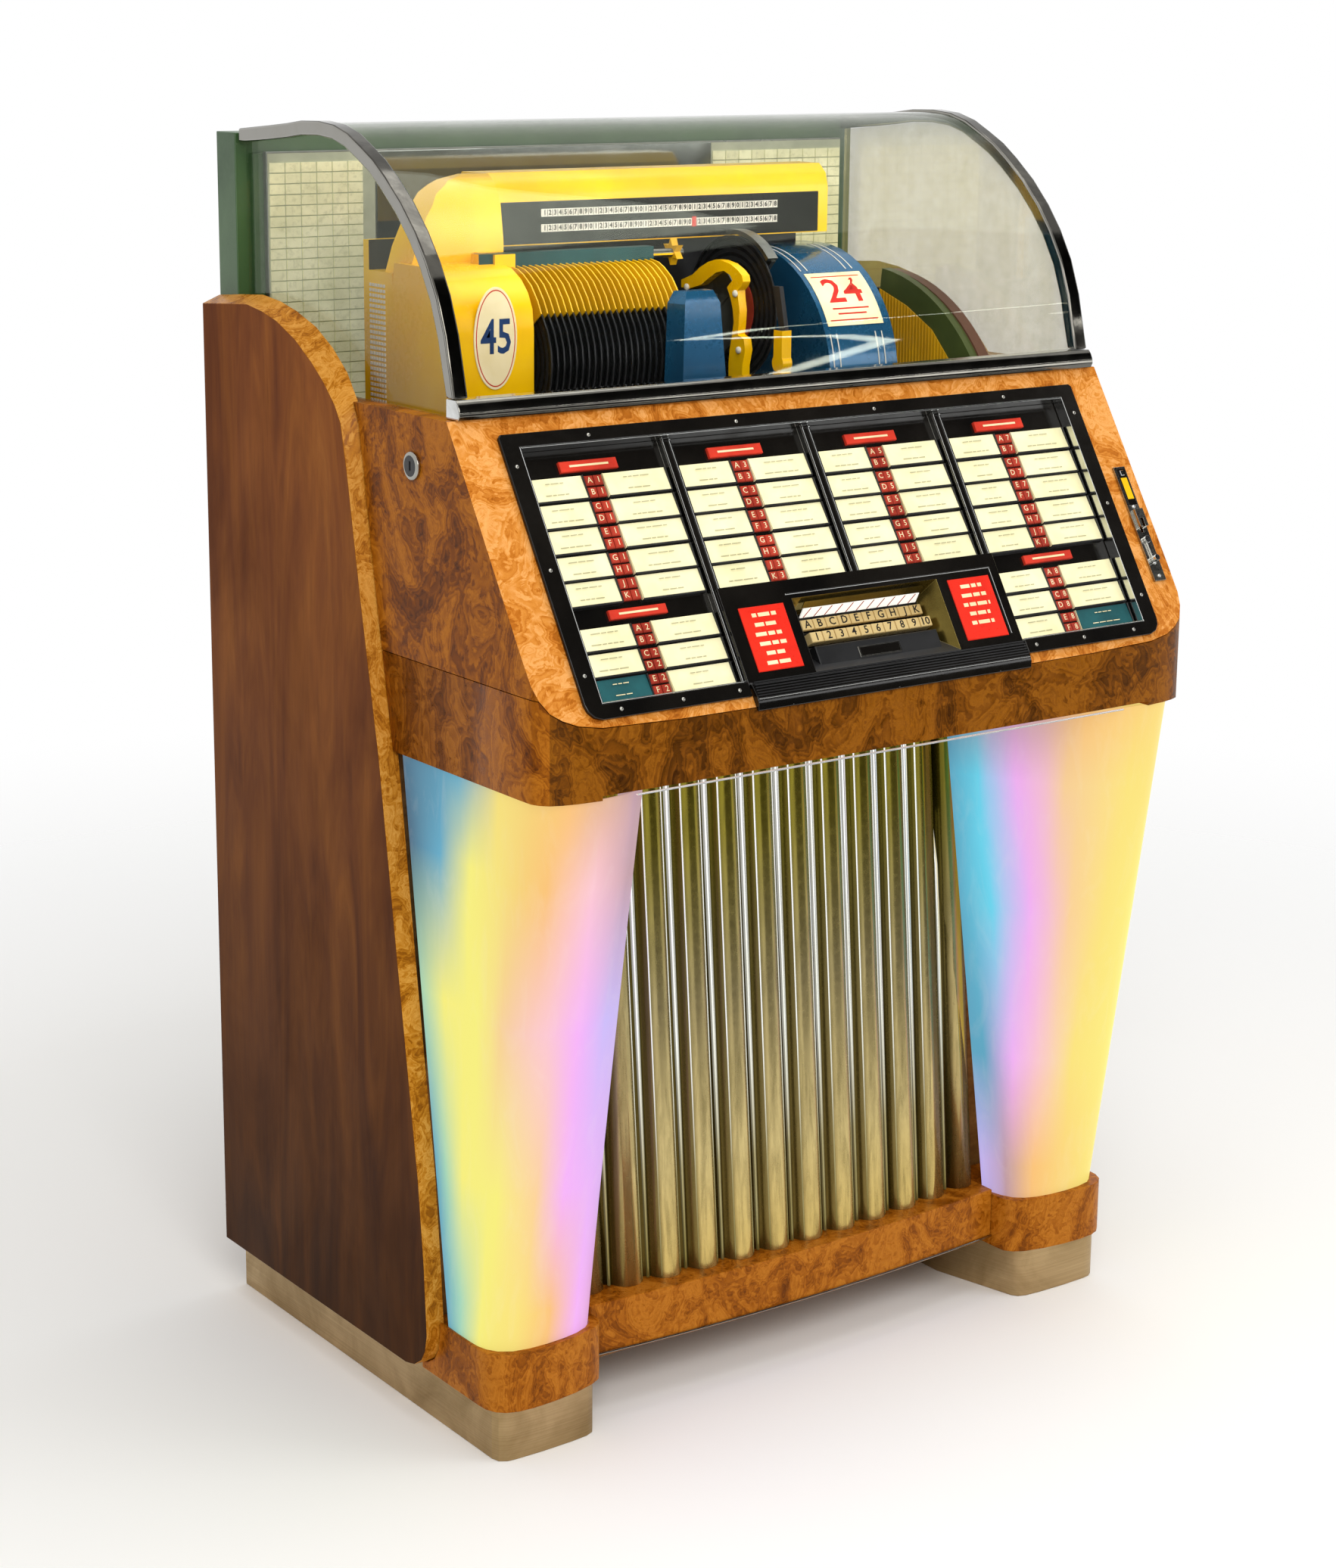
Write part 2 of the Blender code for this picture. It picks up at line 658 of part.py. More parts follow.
# Keyboard bezel with its recess and hand ledge
BEZEL_FACE = 0.0030
BEZEL_BACK = -0.0340
RECESS_FLOOR = -0.0250
KEY_TOP = -0.0170
KEY_TOP_FRONT = -0.0080
bezel = slant_box("keyboard_bezel", -KEYS_HALF, KEYS_HALF, down(222.8), down(336), BEZEL_BACK, BEZEL_FACE)
ledge_side = [(334, SEAT), (334, BEZEL_FACE), (338, BEZEL_FACE + 0.0030), (352, BEZEL_FACE + 0.0055),
              (360, BEZEL_FACE + 0.0040), (366, BEZEL_FACE), (366, SEAT)]
ledge_half = ax(197.5)
ledge_loops = []
for x in (-ledge_half, ledge_half):
    ledge_loops.append([slanted(x, down(p[0]), p[1]) for p in ledge_side])
ledge = rings("ledge", ledge_loops)
union(bezel, [ledge])
KEY_BANK = KEY_PITCH * KEY_COUNT / 2 + KEY_MARGIN
KEY_MOUTH = KEY_BANK + RECESS_FLARE
recess_low = [(-KEY_BANK, down(256)), (KEY_BANK, down(256)), (KEY_BANK, down(303)), (-KEY_BANK, down(303))]
recess_high = [(-KEY_MOUTH, down(245)), (KEY_MOUTH, down(245)), (KEY_MOUTH, down(333)), (-KEY_MOUTH, down(333))]
low_points = list(reversed(turned_out(recess_low)))
high_points = list(reversed(turned_out(recess_high)))
recess = rings("recess", [
    [slanted(p[0], p[1], RECESS_FLOOR) for p in low_points],
    [slanted(p[0], p[1], BEZEL_FACE + SEAT) for p in high_points]])
cut(bezel, [recess])
ROW_LETTERS = down(271.5)
ROW_FIGURES = down(289.7)
stem_holes = []
for row in (ROW_LETTERS, ROW_FIGURES):
    for i in range(KEY_COUNT):
        x = (i - (KEY_COUNT - 1) / 2) * KEY_PITCH
        hole = KEY_STEM / 2 + SEAT
        stem_holes.append(slant_box("stem_hole", x - hole, x + hole, row - hole, row + hole,
                                    BEZEL_BACK - SHELL, RECESS_FLOOR + SHELL))
cut(bezel, stem_holes)
finish(bezel, "keyboard_bezel", BLACK)


def key(name, x, fall, top):
    wide = KEY_WIDE / 2
    high = KEY_HIGH / 2
    stem = KEY_STEM / 2
    under = KEY_TOP - KEY_THICK
    loops = []
    for w, h, level in ((stem, stem, under - KEY_STEM_LONG * 0.6), (stem, stem, under), (wide, high, under),
                        (wide, high, top - KEY_DISH), (wide * 0.88, high * 0.86, top)):
        loops.append([slanted(x + sx * w, fall + sy * h, level)
                      for sx, sy in ((-1, 1), (1, 1), (1, -1), (-1, -1))])
    made = rings(name, loops)
    put_origin(made, slanted(x, fall, top))
    return finish(made, name, TAN)


for i in range(KEY_COUNT):
    x = (i - (KEY_COUNT - 1) / 2) * KEY_PITCH
    key("key_" + LETTERS[i], x, ROW_LETTERS, KEY_TOP)
for i in range(KEY_COUNT):
    x = (i - (KEY_COUNT - 1) / 2) * KEY_PITCH
    key("key_" + str(i + 1), x, ROW_FIGURES, KEY_TOP_FRONT)

# Coin plate and reject lever
PLATE_FACE = 0.0033
coin = slant_box("coin_plate", ax(434), ax(452.5), down(135), down(285), SEAT, PLATE_FACE)
lip = slant_box("coin_hood", ax(437), ax(450), down(193), down(216), PLATE_FACE * 0.5, PLATE_FACE * 3)
union(coin, [lip])
cut(coin, [slant_box("coin_slot", ax(441), ax(445), down(205), down(222), -PLATE_FACE, PLATE_FACE * 4)])
PIVOT = (ax(443), down(232))
PIN = 0.0026


def slant_disc(name, centre, radius, low, high, steps=20):
    return slant_prism(name, arc(centre, radius, 0, 360, steps)[:-1], low, high)


cut(coin, [slant_disc("lever_hole", PIVOT, PIN + SEAT, -PLATE_FACE, PLATE_FACE * 2)])
finish(coin, "coin_plate", CHROME)
lever = slant_disc("reject_lever", PIVOT, PIN * 1.7, PLATE_FACE + SEAT, PLATE_FACE * 2.2)
arm = slant_prism("lever_arm", [
    (PIVOT[0] - PIN, PIVOT[1]), (PIVOT[0] + PIN, PIVOT[1]), (PIVOT[0] + PIN * 0.7, PIVOT[1] + down(24)),
    (PIVOT[0] - PIN * 0.7, PIVOT[1] + down(24))], PLATE_FACE + SEAT, PLATE_FACE * 1.9)
knob = slant_disc("lever_knob", (PIVOT[0], PIVOT[1] + down(26)), PIN * 1.5, PLATE_FACE + SEAT, PLATE_FACE * 3.6)
pin = slant_disc("lever_pin", PIVOT, PIN, SEAT, PLATE_FACE * 1.5)
union(lever, [arm, knob, pin])
put_origin(finish(lever, "reject_lever", CHROME), slanted(PIVOT[0], PIVOT[1], PLATE_FACE))

# Carcass: floor, side walls, loudspeaker board and mechanism deck in one glued box
FLOOR_TOP = hz(80)
DECK_Z0 = hz(868)
DECK_Z1 = hz(886)
BACK_Y = dy(548)
BOARD_FRONT = dy(118)
carcass = box("cabinet_carcass", -BODY, BODY, dy(101), BACK_Y, CUP_Z0, FLOOR_TOP)
tongue = box("floor_tongue", ax(-304), ax(304), dy(5), dy(110), CUP_Z0, hz(73) - SEAT)
wall_line = yz([(548, 62.3), (101, 62.3), (101, 131), (166, 783), (205, 783.6), (205, 893), (548, 893)])
wall_line = [(p[0], max(p[1], CUP_Z0)) for p in wall_line]
walls = [prism("wall", wall_line, "X", WALL, BODY), prism("wall", wall_line, "X", -BODY, -WALL)]
REACH = BOARD * 0.3
IN_APRON = WALL - SEAT
WIDE = WALL + REACH
baffle_line = [(-WIDE, FLOOR_TOP - REACH), (WIDE, FLOOR_TOP - REACH), (WIDE, hz(700)), (IN_APRON, hz(700)),
               (IN_APRON, DECK_Z0 + REACH), (-IN_APRON, DECK_Z0 + REACH), (-IN_APRON, hz(700)), (-WIDE, hz(700))]
baffle = prism("loudspeaker_board", baffle_line, "Y", BOARD_FRONT, BOARD_FRONT + BOARD * 0.7)
deck_plan = [(-WIDE, BACK_Y), (-WIDE, dy(206)), (-IN_APRON, dy(206)), (-IN_APRON, BOARD_FRONT - REACH * 0.5),
             (IN_APRON, BOARD_FRONT - REACH * 0.5), (IN_APRON, dy(206)), (WIDE, dy(206)), (WIDE, BACK_Y)]
deck = prism("deck", deck_plan, "Z", DECK_Z0, DECK_Z1)
union(carcass, [tongue] + walls + [baffle, deck])
SPEAKER = (0, hz(450))
cut(carcass, [disc("speaker_opening", "Y", SPEAKER, SPEAKER_RADIUS * 0.9, dy(90), dy(160), 40)])
finish(carcass, "cabinet_carcass", PLYWOOD)

# Loudspeaker on the front of its board
s_face = BOARD_FRONT - SEAT
speaker = lathe("loudspeaker", "Y", SPEAKER, [
    (s_face + dl(95), SPEAKER_RADIUS * 0.32), (s_face + dl(62), SPEAKER_RADIUS * 0.32),
    (s_face + dl(60), SPEAKER_RADIUS * 0.20), (s_face + dl(46), SPEAKER_RADIUS * 0.24),
    (s_face, SPEAKER_RADIUS * 0.86), (s_face, SPEAKER_RADIUS), (s_face - SHELL, SPEAKER_RADIUS),
    (s_face - SHELL, SPEAKER_RADIUS * 0.84), (s_face + dl(34), SPEAKER_RADIUS * 0.22),
    (s_face + dl(26), SPEAKER_RADIUS * 0.18)][::-1], 40)
finish(speaker, "loudspeaker", PAPER, False)

# Rear door, hinged at its right edge
DOOR_HALF = WALL - REVEAL * 1.5
DOOR_Z0 = FLOOR_TOP + REVEAL * 1.5
DOOR_Z1 = DECK_Z0 - REVEAL * 1.5
DOOR_HINGE = (ax(434), dy(545))
PIVOT_PIN = 0.0035
door = box("rear_door", -DOOR_HALF, DOOR_HALF, dy(536), BACK_Y - SEAT, DOOR_Z0, DOOR_Z1)
louvres = []
for k in range(5):
    z = hz(640 + 32 * k)
    louvres.append(box("louvre", ax(-180), ax(180), dy(520), dy(560), z, z + hz(9)))
cut(door, louvres)
for low, high in ((FLOOR_TOP + SEAT, DOOR_Z0 + SHELL), (DOOR_Z1 - SHELL, DECK_Z0 - SEAT)):
    union(door, [disc("pivot_pin", "Z", DOOR_HINGE, PIVOT_PIN, low, high, 16)])
put_origin(finish(door, "rear_door", PLYWOOD), (DOOR_HINGE[0], DOOR_HINGE[1], (DOOR_Z0 + DOOR_Z1) / 2))

# Lamps and the turning colour cylinders inside the pilasters
LIGHT = (ax(386), dy(24))
drum = sleeve("right_colour_cylinder", "Z", LIGHT, DRUM_RADIUS - DRUM_WALL, DRUM_RADIUS, PIL_Z0, hz(735), 28)
finish(mirrored(drum, "left_colour_cylinder"), "left_colour_cylinder", GLOW)
finish(drum, "right_colour_cylinder", GLOW)
lamp = lathe("right_lamp", "Z", LIGHT, [
    (PIL_Z0, LAMP_RADIUS * 1.2), (PIL_Z0 + hz(24), LAMP_RADIUS * 1.2), (PIL_Z0 + hz(24), LAMP_RADIUS),
    (hz(724), LAMP_RADIUS), (hz(724), LAMP_RADIUS * 1.2), (hz(745), LAMP_RADIUS * 1.2)], 20)
finish(mirrored(lamp, "left_lamp"), "left_lamp", GLOW)
finish(lamp, "right_lamp", GLOW)
for side_name, sign in (("left_colour_cylinder", -1), ("right_colour_cylinder", 1)):
    put_origin(bpy.data.objects[side_name], (sign * LIGHT[0], LIGHT[1], hz(430)))

# Rear frame with the hinge strips, and the mirror board in front of it
POST_IN = ax(430)
FRAME_TOP = hz(1446)
frame_plan = [(-BODY, hz(893) + SEAT), (-POST_IN, hz(893) + SEAT), (-POST_IN, hz(1418)), (POST_IN, hz(1418)),
              (POST_IN, hz(893) + SEAT), (BODY, hz(893) + SEAT), (BODY, FRAME_TOP), (-BODY, FRAME_TOP)]
rear = prism("rear_frame", frame_plan, "Y", dy(503), dy(548))
strips = []
for a, b in ((-330, -170), (-80, 90), (190, 330)):
    strips.append(box("hinge_strip", ax(a), ax(b), dy(506), dy(532), FRAME_TOP - SHELL, FRAME_TOP + SHELL * 0.8))
union(rear, strips)
finish(rear, "rear_frame", GREEN)
mirror = box("mirror_back", ax(-428), ax(428), dy(486), dy(494), DECK_Z1 + SEAT, hz(1424))
finish(mirror, "mirror_back", MIRROR)

# The record changer is drawn round the stack's axis on a grid of the record's size, 87.3 stations to its radius.
AXIS = (dy(238), hz(1198))
CHANGER_GRID = 87.3


def ml(length):
    return RECORD_RADIUS * length / CHANGER_GRID


def my(station):
    return AXIS[0] + ml(station - 238)


def mz(station):
    return AXIS[1] + ml(station - 1198)


def myz(points):
    return [(my(p[0]), mz(p[1])) for p in points]


# Mechanism bed: pedestals and two rails for the carriage
bed = box("mechanism_bed", ax(-395), ax(395), my(160), my(372), DECK_Z1 + SEAT, hz(902))
stands = []
for a, b in ((-385, -300), (300, 385)):
    stands.append(box("pedestal", ax(a), ax(b), my(175), my(360), hz(896), mz(1104)))
for a, b in ((182, 200), (325, 343)):
    stands.append(box("rail", ax(-390), ax(390), my(a), my(b), mz(1085), mz(1110)))
union(bed, stands)
finish(bed, "mechanism_bed", BLUE)
BED_TOP = mz(1110)

# Record magazine: end housing, indicator hood, comb, cradle and round end plate
PLAY = (my(262), mz(1237))
MAG_Z0 = BED_TOP + SEAT
STACK_X0 = ax(-262)
STACK_X1 = STACK_X0 + RECORD_PITCH * RECORD_COUNT
housing_line = myz([(166, 1110.3), (166, 1238), (169, 1262), (178, 1279), (192, 1293), (210, 1303), (232, 1308),
                   (296, 1308), (303, 1262), (307, 1219), (309, 1110.3)])
housing_line = [(p[0], max(p[1], MAG_Z0)) for p in housing_line]
magazine = prism("record_magazine", housing_line, "X", ax(-371), ax(-268))
parts = []
shoulder = myz([(270, 1290), (270, 1330), (276, 1372), (288, 1394), (302, 1404), (312, 1404), (322, 1392), (322, 1290)])
upper = prism("upper_block", shoulder, "X", ax(-380), ax(-241))
front_line = [(-230, 1280), (-230, 1420), (-276, 1420), (-276, 1404), (-301, 1398), (-323, 1384), (-342, 1358),
              (-358, 1325), (-369, 1290), (-369, 1280)]
front_line = [(ax(p[0]), mz(p[1])) for p in front_line]
keep(upper, [prism("upper_front", front_line, "Y", my(250), my(380))])
parts.append(upper)
hood = myz([(290, 1321), (290, 1376), (295, 1393), (308, 1404), (350, 1404), (362, 1392), (362, 1321)])
parts.append(prism("hood", hood, "X", ax(-246), ax(250)))
parts.append(box("tongue", ax(-281), STACK_X0 + RECORD_PITCH, my(226), my(300), mz(1290), mz(1318)))
parts.append(box("back_beam", ax(-371), ax(250), my(352), my(364), MAG_Z0, mz(1330)))
parts.append(box("right_beam", ax(240), ax(411), my(352), my(364), MAG_Z0, mz(1240)))
parts.append(box("beam_end", ax(-371), ax(-330), my(300), my(356), MAG_Z0, mz(1296)))
plate_line = [(my(368) + p[0], mz(1011) + p[1]) for p in arc((0, 0), ml(256), 96, 158, 14)]
plate_line += [(my(138), MAG_Z0), (my(360), MAG_Z0)]
plate_line = [(p[0], max(p[1], MAG_Z0)) for p in plate_line if p[1] > mz(1108)]
parts.append(prism("end_plate", plate_line, "X", ax(384), ax(398)))
rim_line = [(my(359) + p[0], mz(1017) + p[1]) for p in arc((0, 0), ml(248), 94, 157, 14)]
rim_line += [(my(140), MAG_Z0), (my(360), MAG_Z0)]
rim_line = [(p[0], max(p[1], MAG_Z0)) for p in rim_line if p[1] > mz(1108)]
parts.append(prism("end_rim", rim_line, "X", ax(396), ax(412)))
# Blades between the records, tied by a bar on top and a link to the beam behind
blade = myz([(166, 1256), (174, 1270), (187, 1286), (203, 1297), (214, 1302), (238, 1306), (262, 1306),
            (296, 1292), (324, 1262), (338, 1236), (338, 1198)])
blade += arc(AXIS, RECORD_RADIUS * 0.68, 0, 141, 8)
for i in range(RECORD_COUNT):
    x = STACK_X0 + RECORD_PITCH * i + RECORD_PITCH * 0.5
    parts.append(prism("blade", blade, "X", x - COMB_BLADE / 2, x + COMB_BLADE / 2))
parts.append(box("comb_bar", ax(-300), STACK_X1, my(230), my(246), mz(1303), mz(1319)))
parts.append(box("comb_link", STACK_X0 - RECORD_PITCH, STACK_X1, my(330), my(356), mz(1228), mz(1248)))
cradle = arc(AXIS, RECORD_RADIUS + SEAT, 252, 288, 6)
cradle += [(AXIS[0] + RECORD_RADIUS * 0.50, MAG_Z0), (AXIS[0] - RECORD_RADIUS * 0.50, MAG_Z0)]
parts.append(prism("cradle", cradle, "X", ax(-275), STACK_X1))
parts.append(disc("selector_rod", "X", (my(257), mz(1308)), ml(5), STACK_X1 - RECORD_PITCH * 2, ax(2), 12))
star = []
for k in range(12):
    t = math.radians(30 * k)
    r = ml(16) if k % 2 else ml(8)
    star.append((my(259) + r * math.cos(t), mz(1309) + r * math.sin(t)))
parts.append(prism("selector_star", star, "X", ax(-13), ax(-4)))
union(magazine, parts)
finish(magazine, "record_magazine", YELLOW)

# Record stack: the records with the core they stand on
profile = []
for i in range(RECORD_COUNT):
    x = STACK_X0 + RECORD_PITCH * (i + 1) - RECORD_THICK / 2
    if i > 0:
        profile.append((x, RECORD_HUB))
    profile.append((x, RECORD_RADIUS))
    profile.append((x + RECORD_THICK, RECORD_RADIUS))
    if i < RECORD_COUNT - 1:
        profile.append((x + RECORD_THICK, RECORD_HUB))
stack = lathe("record_stack", "X", AXIS, profile, 28)
finish(stack, "record_stack", VINYL)

# Carriage: base on the rails, tower, clamp ring, shaft bearing and round cover
CAR_Z0 = BED_TOP + SEAT
carriage = box("carriage", ax(-40), ax(255), my(158), my(338), CAR_Z0, mz(1130))
apron_block = box("tower_foot", ax(-101), ax(-27), my(112), my(146), mz(1112), mz(1150))
foot_tie = box("foot_tie", ax(-38), ax(-18), my(112), my(200), mz(1112), mz(1130))
tower = rings("tower", [
    [(ax(p[0]), my(p[1]), mz(1140)) for p in ((-99, 114), (-33, 114), (-29, 146), (-103, 146))],
    [(ax(p[0]), my(p[1]), mz(1262)) for p in ((-93, 119), (-43, 119), (-39, 145), (-99, 145))],
    [(ax(p[0]), my(p[1]), mz(1276)) for p in ((-87, 125), (-49, 125), (-47, 141), (-93, 141))]])
clamp_line = myz([
    (303, 1261), (303, 1270), (280, 1278), (265, 1288), (250, 1295), (235, 1299), (223, 1299), (205, 1296),
    (191, 1290), (182, 1284), (180, 1277), (184, 1271), (190, 1266), (189, 1257), (186, 1243), (187, 1228),
    (189, 1214), (177, 1210), (174, 1197), (179, 1178), (179, 1122), (206, 1122), (206, 1180), (204, 1196),
    (200, 1213), (197, 1228), (199, 1242), (204, 1256), (211, 1268), (201, 1277), (206, 1283), (218, 1287),
    (233, 1284), (246, 1277), (263, 1267), (289, 1260)])
clamp = prism("clamp_ring", clamp_line, "X", ax(36), ax(47))
bearing = prism("bearing", myz([(242, 1122), (296, 1122), (276, 1257), (248, 1257)]), "X", ax(40), ax(50))
post = box("arm_post", ax(61), ax(81), my(140), my(160), mz(1112), mz(1171))
post_tie = box("post_tie", ax(61), ax(81), my(140), my(175), mz(1112), mz(1130))
cover_line = [(my(308) + p[0], mz(1151) + p[1]) for p in arc((0, 0), ml(155), 90, 180, 12)]
cover_line += [(my(153), mz(1112)), (my(345), mz(1112)), (my(345), mz(1306))]
cover = prism("round_cover", cover_line, "X", ax(150), ax(255))
union(carriage, [foot_tie, apron_block, tower, clamp, bearing, post_tie, post, cover])
cut(carriage, [disc("shaft_hole", "X", PLAY, SHAFT_RADIUS + SEAT, ax(32), ax(56), 24)])
put_origin(finish(carriage, "carriage", BLUE), (ax(46), my(234), CAR_Z0))

# Turntable: shaft, flywheel and the record in play
PLAY_X = ax(82)
turntable = lathe("turntable", "X", PLAY, [
    (ax(43), SHAFT_RADIUS), (ax(51), SHAFT_RADIUS), (ax(51), FLYWHEEL_RADIUS), (ax(62), FLYWHEEL_RADIUS),
    (ax(62), RECORD_HUB), (PLAY_X, RECORD_HUB), (PLAY_X, RECORD_RADIUS),
    (PLAY_X + RECORD_THICK, RECORD_RADIUS), (PLAY_X + RECORD_THICK, RECORD_HUB * 0.8), (ax(88), RECORD_HUB * 0.8),
    (ax(88), SHAFT_RADIUS), (ax(99), SHAFT_RADIUS)], 36)
put_origin(finish(turntable, "turntable", VINYL), (PLAY_X, PLAY[0], PLAY[1]))

# Transfer arm: the grey arc round the record in play, turning on the shaft
hub = sleeve("transfer_arm", "X", PLAY, SHAFT_RADIUS + SLIP, SHAFT_RADIUS * 1.9, ax(89), ax(97), 24)
arc_line = arc(PLAY, RECORD_RADIUS * 1.08, 137, 80, 10) + list(reversed(
    arc(PLAY, RECORD_RADIUS + REVEAL * 1.5, 137, 80, 10)))
grip = prism("grip", arc_line, "X", ax(83), ax(98))
spoke = prism("spoke", [
    (PLAY[0] - SHAFT_RADIUS * 0.7, PLAY[1] + SHAFT_RADIUS * 1.4),
    (PLAY[0] - SHAFT_RADIUS * 1.4, PLAY[1] + SHAFT_RADIUS * 0.7),
    (PLAY[0] - RECORD_RADIUS * 0.77, PLAY[1] + RECORD_RADIUS * 0.69),
    (PLAY[0] - RECORD_RADIUS * 0.68, PLAY[1] + RECORD_RADIUS * 0.78)], "X", ax(90), ax(96))
union(hub, [spoke, grip])
put_origin(finish(hub, "transfer_arm", GREY), (ax(93), PLAY[0], PLAY[1]))

# Tonearm on its post in front of the record
TONE = (my(150), mz(1182))
POST_TOP = mz(1171)
tone = disc("tonearm", "X", TONE, TONE[1] - POST_TOP - SEAT, ax(66), ax(80), 24)
wand = prism("wand", myz([(146, 1216), (157, 1216), (167, 1256), (171, 1271), (159, 1271)]), "X", ax(74), ax(80))
union(tone, [box("arm_block", ax(66), ax(80), my(142), my(158), TONE[1] - SHELL, mz(1221)), wand])
put_origin(finish(tone, "tonearm", YELLOW), (ax(71), TONE[0], TONE[1]))
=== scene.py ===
"""Finishes, trim and small parts for a floor-standing selector jukebox.

Lengths in the drawings are millimetres: across, back from the dome's front rail, and up.
"""
import json
import math
import random

import bmesh
import bpy
from mathutils import Matrix, Vector

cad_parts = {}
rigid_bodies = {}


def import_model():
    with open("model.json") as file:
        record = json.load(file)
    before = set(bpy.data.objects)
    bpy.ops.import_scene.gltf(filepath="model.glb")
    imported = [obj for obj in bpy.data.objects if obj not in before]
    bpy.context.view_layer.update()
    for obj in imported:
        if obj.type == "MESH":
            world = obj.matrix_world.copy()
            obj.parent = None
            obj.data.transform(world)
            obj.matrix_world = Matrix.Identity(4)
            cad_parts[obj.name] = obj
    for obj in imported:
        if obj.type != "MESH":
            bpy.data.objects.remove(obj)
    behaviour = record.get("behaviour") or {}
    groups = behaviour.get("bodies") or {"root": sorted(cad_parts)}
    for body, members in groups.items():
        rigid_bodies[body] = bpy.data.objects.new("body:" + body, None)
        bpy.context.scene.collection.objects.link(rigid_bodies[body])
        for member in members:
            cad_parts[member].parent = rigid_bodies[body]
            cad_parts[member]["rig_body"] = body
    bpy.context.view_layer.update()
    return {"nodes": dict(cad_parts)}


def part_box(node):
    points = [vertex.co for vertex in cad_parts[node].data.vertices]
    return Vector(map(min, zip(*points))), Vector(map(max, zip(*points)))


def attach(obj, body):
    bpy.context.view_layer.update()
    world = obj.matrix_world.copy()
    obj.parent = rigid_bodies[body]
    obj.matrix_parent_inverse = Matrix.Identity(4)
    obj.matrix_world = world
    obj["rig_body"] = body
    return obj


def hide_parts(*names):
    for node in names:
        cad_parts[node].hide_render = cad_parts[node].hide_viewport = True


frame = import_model()
nodes = frame["nodes"]
scene = bpy.context.scene

# Drawing to frame: how far back the frame's middle is, and the slanted front's top edge and direction
MIDDLE = 192.0
SLOPE_Y, SLOPE_Z = -160.0, 1165.0
SLOPE_LONG = math.hypot(189.0, 301.5)
UP_Y = 189.0 / SLOPE_LONG
UP_Z = 301.5 / SLOPE_LONG


def at(x, y, z):
    """Point from its stations across, back and up."""
    return Vector((x / 1000, (y - MIDDLE) / 1000, z / 1000))


def on_slope(x, fall, rise):
    """Point on the slanted front: across, down from its top edge, out of it."""
    y = SLOPE_Y - UP_Y * fall - UP_Z * rise
    z = SLOPE_Z - UP_Z * fall + UP_Y * rise
    return Vector((x / 1000, y / 1000, z / 1000))


def off_slope(point):
    """Stations on the slanted front of a point in the frame."""
    y = point[1] * 1000 - SLOPE_Y
    z = point[2] * 1000 - SLOPE_Z
    return point[0] * 1000, -(y * UP_Y + z * UP_Z), -y * UP_Z + z * UP_Y


def facing(normal):
    """How squarely a face looks out of the slanted front."""
    return -normal.y * UP_Z + normal.z * UP_Y


def back_at(point):
    """Stations of a point in the frame."""
    return point[0] * 1000, point[1] * 1000 + MIDDLE, point[2] * 1000


def circle(u, v, radius, steps):
    turns = [math.tau * i / steps for i in range(steps)]
    return [(u + radius * math.cos(t), v + radius * math.sin(t)) for t in turns]


def smooth_line(points, fine):
    """Points on a curve through the given ones."""
    rounded = []
    for i in range(len(points) - 1):
        p0, p1, p2, p3 = [Vector(points[max(0, min(len(points) - 1, i + k))]) for k in (-1, 0, 1, 2)]
        for j in range(fine):
            t = j / fine
            rounded.append(0.5 * (2 * p1 + (p2 - p0) * t + (2 * p0 - 5 * p1 + 4 * p2 - p3) * t * t
                                  + (3 * p1 - p0 - 3 * p2 + p3) * t ** 3))
    rounded.append(Vector(points[-1]))
    return rounded


def shade(code):
    """Linear colour from a six-figure colour code."""
    parts = [int(code[i:i + 2], 16) / 255 for i in (0, 2, 4)]
    return tuple([c / 12.92 if c <= 0.04045 else ((c + 0.055) / 1.055) ** 2.4 for c in parts] + [1.0])


def feed(tree, made, given, named):
    """Links or sets a node's inputs, in order and by label with _ for a space; None leaves one alone."""
    pairs = list(zip(made.inputs, given))
    pairs += [(made.inputs[label.replace("_", " ")], value) for label, value in named.items()]
    for socket, value in pairs:
        if isinstance(value, bpy.types.NodeSocket):
            tree.links.new(value, socket)
        elif value is not None:
            socket.default_value = shade(value) if isinstance(value, str) else value
    return made


def add_node(tree, kind, *given, **named):
    """A new node; names in small letters are its settings, the others its inputs."""
    made = tree.nodes.new(kind)
    for label in [label for label in named if label.islower()]:
        setattr(made, label, named.pop(label))
    return feed(tree, made, given, named)


def put(name, data):
    """A new object in the scene."""
    made = bpy.data.objects.new(name, data)
    scene.collection.objects.link(made)
    return made


def plain_mesh(holder):
    """The mesh that a text or a modifier gives; the object that held it goes."""
    graph = bpy.context.evaluated_depsgraph_get()
    mesh = bpy.data.meshes.new_from_object(holder.evaluated_get(graph))
    bpy.data.objects.remove(holder, do_unlink=True)
    return mesh


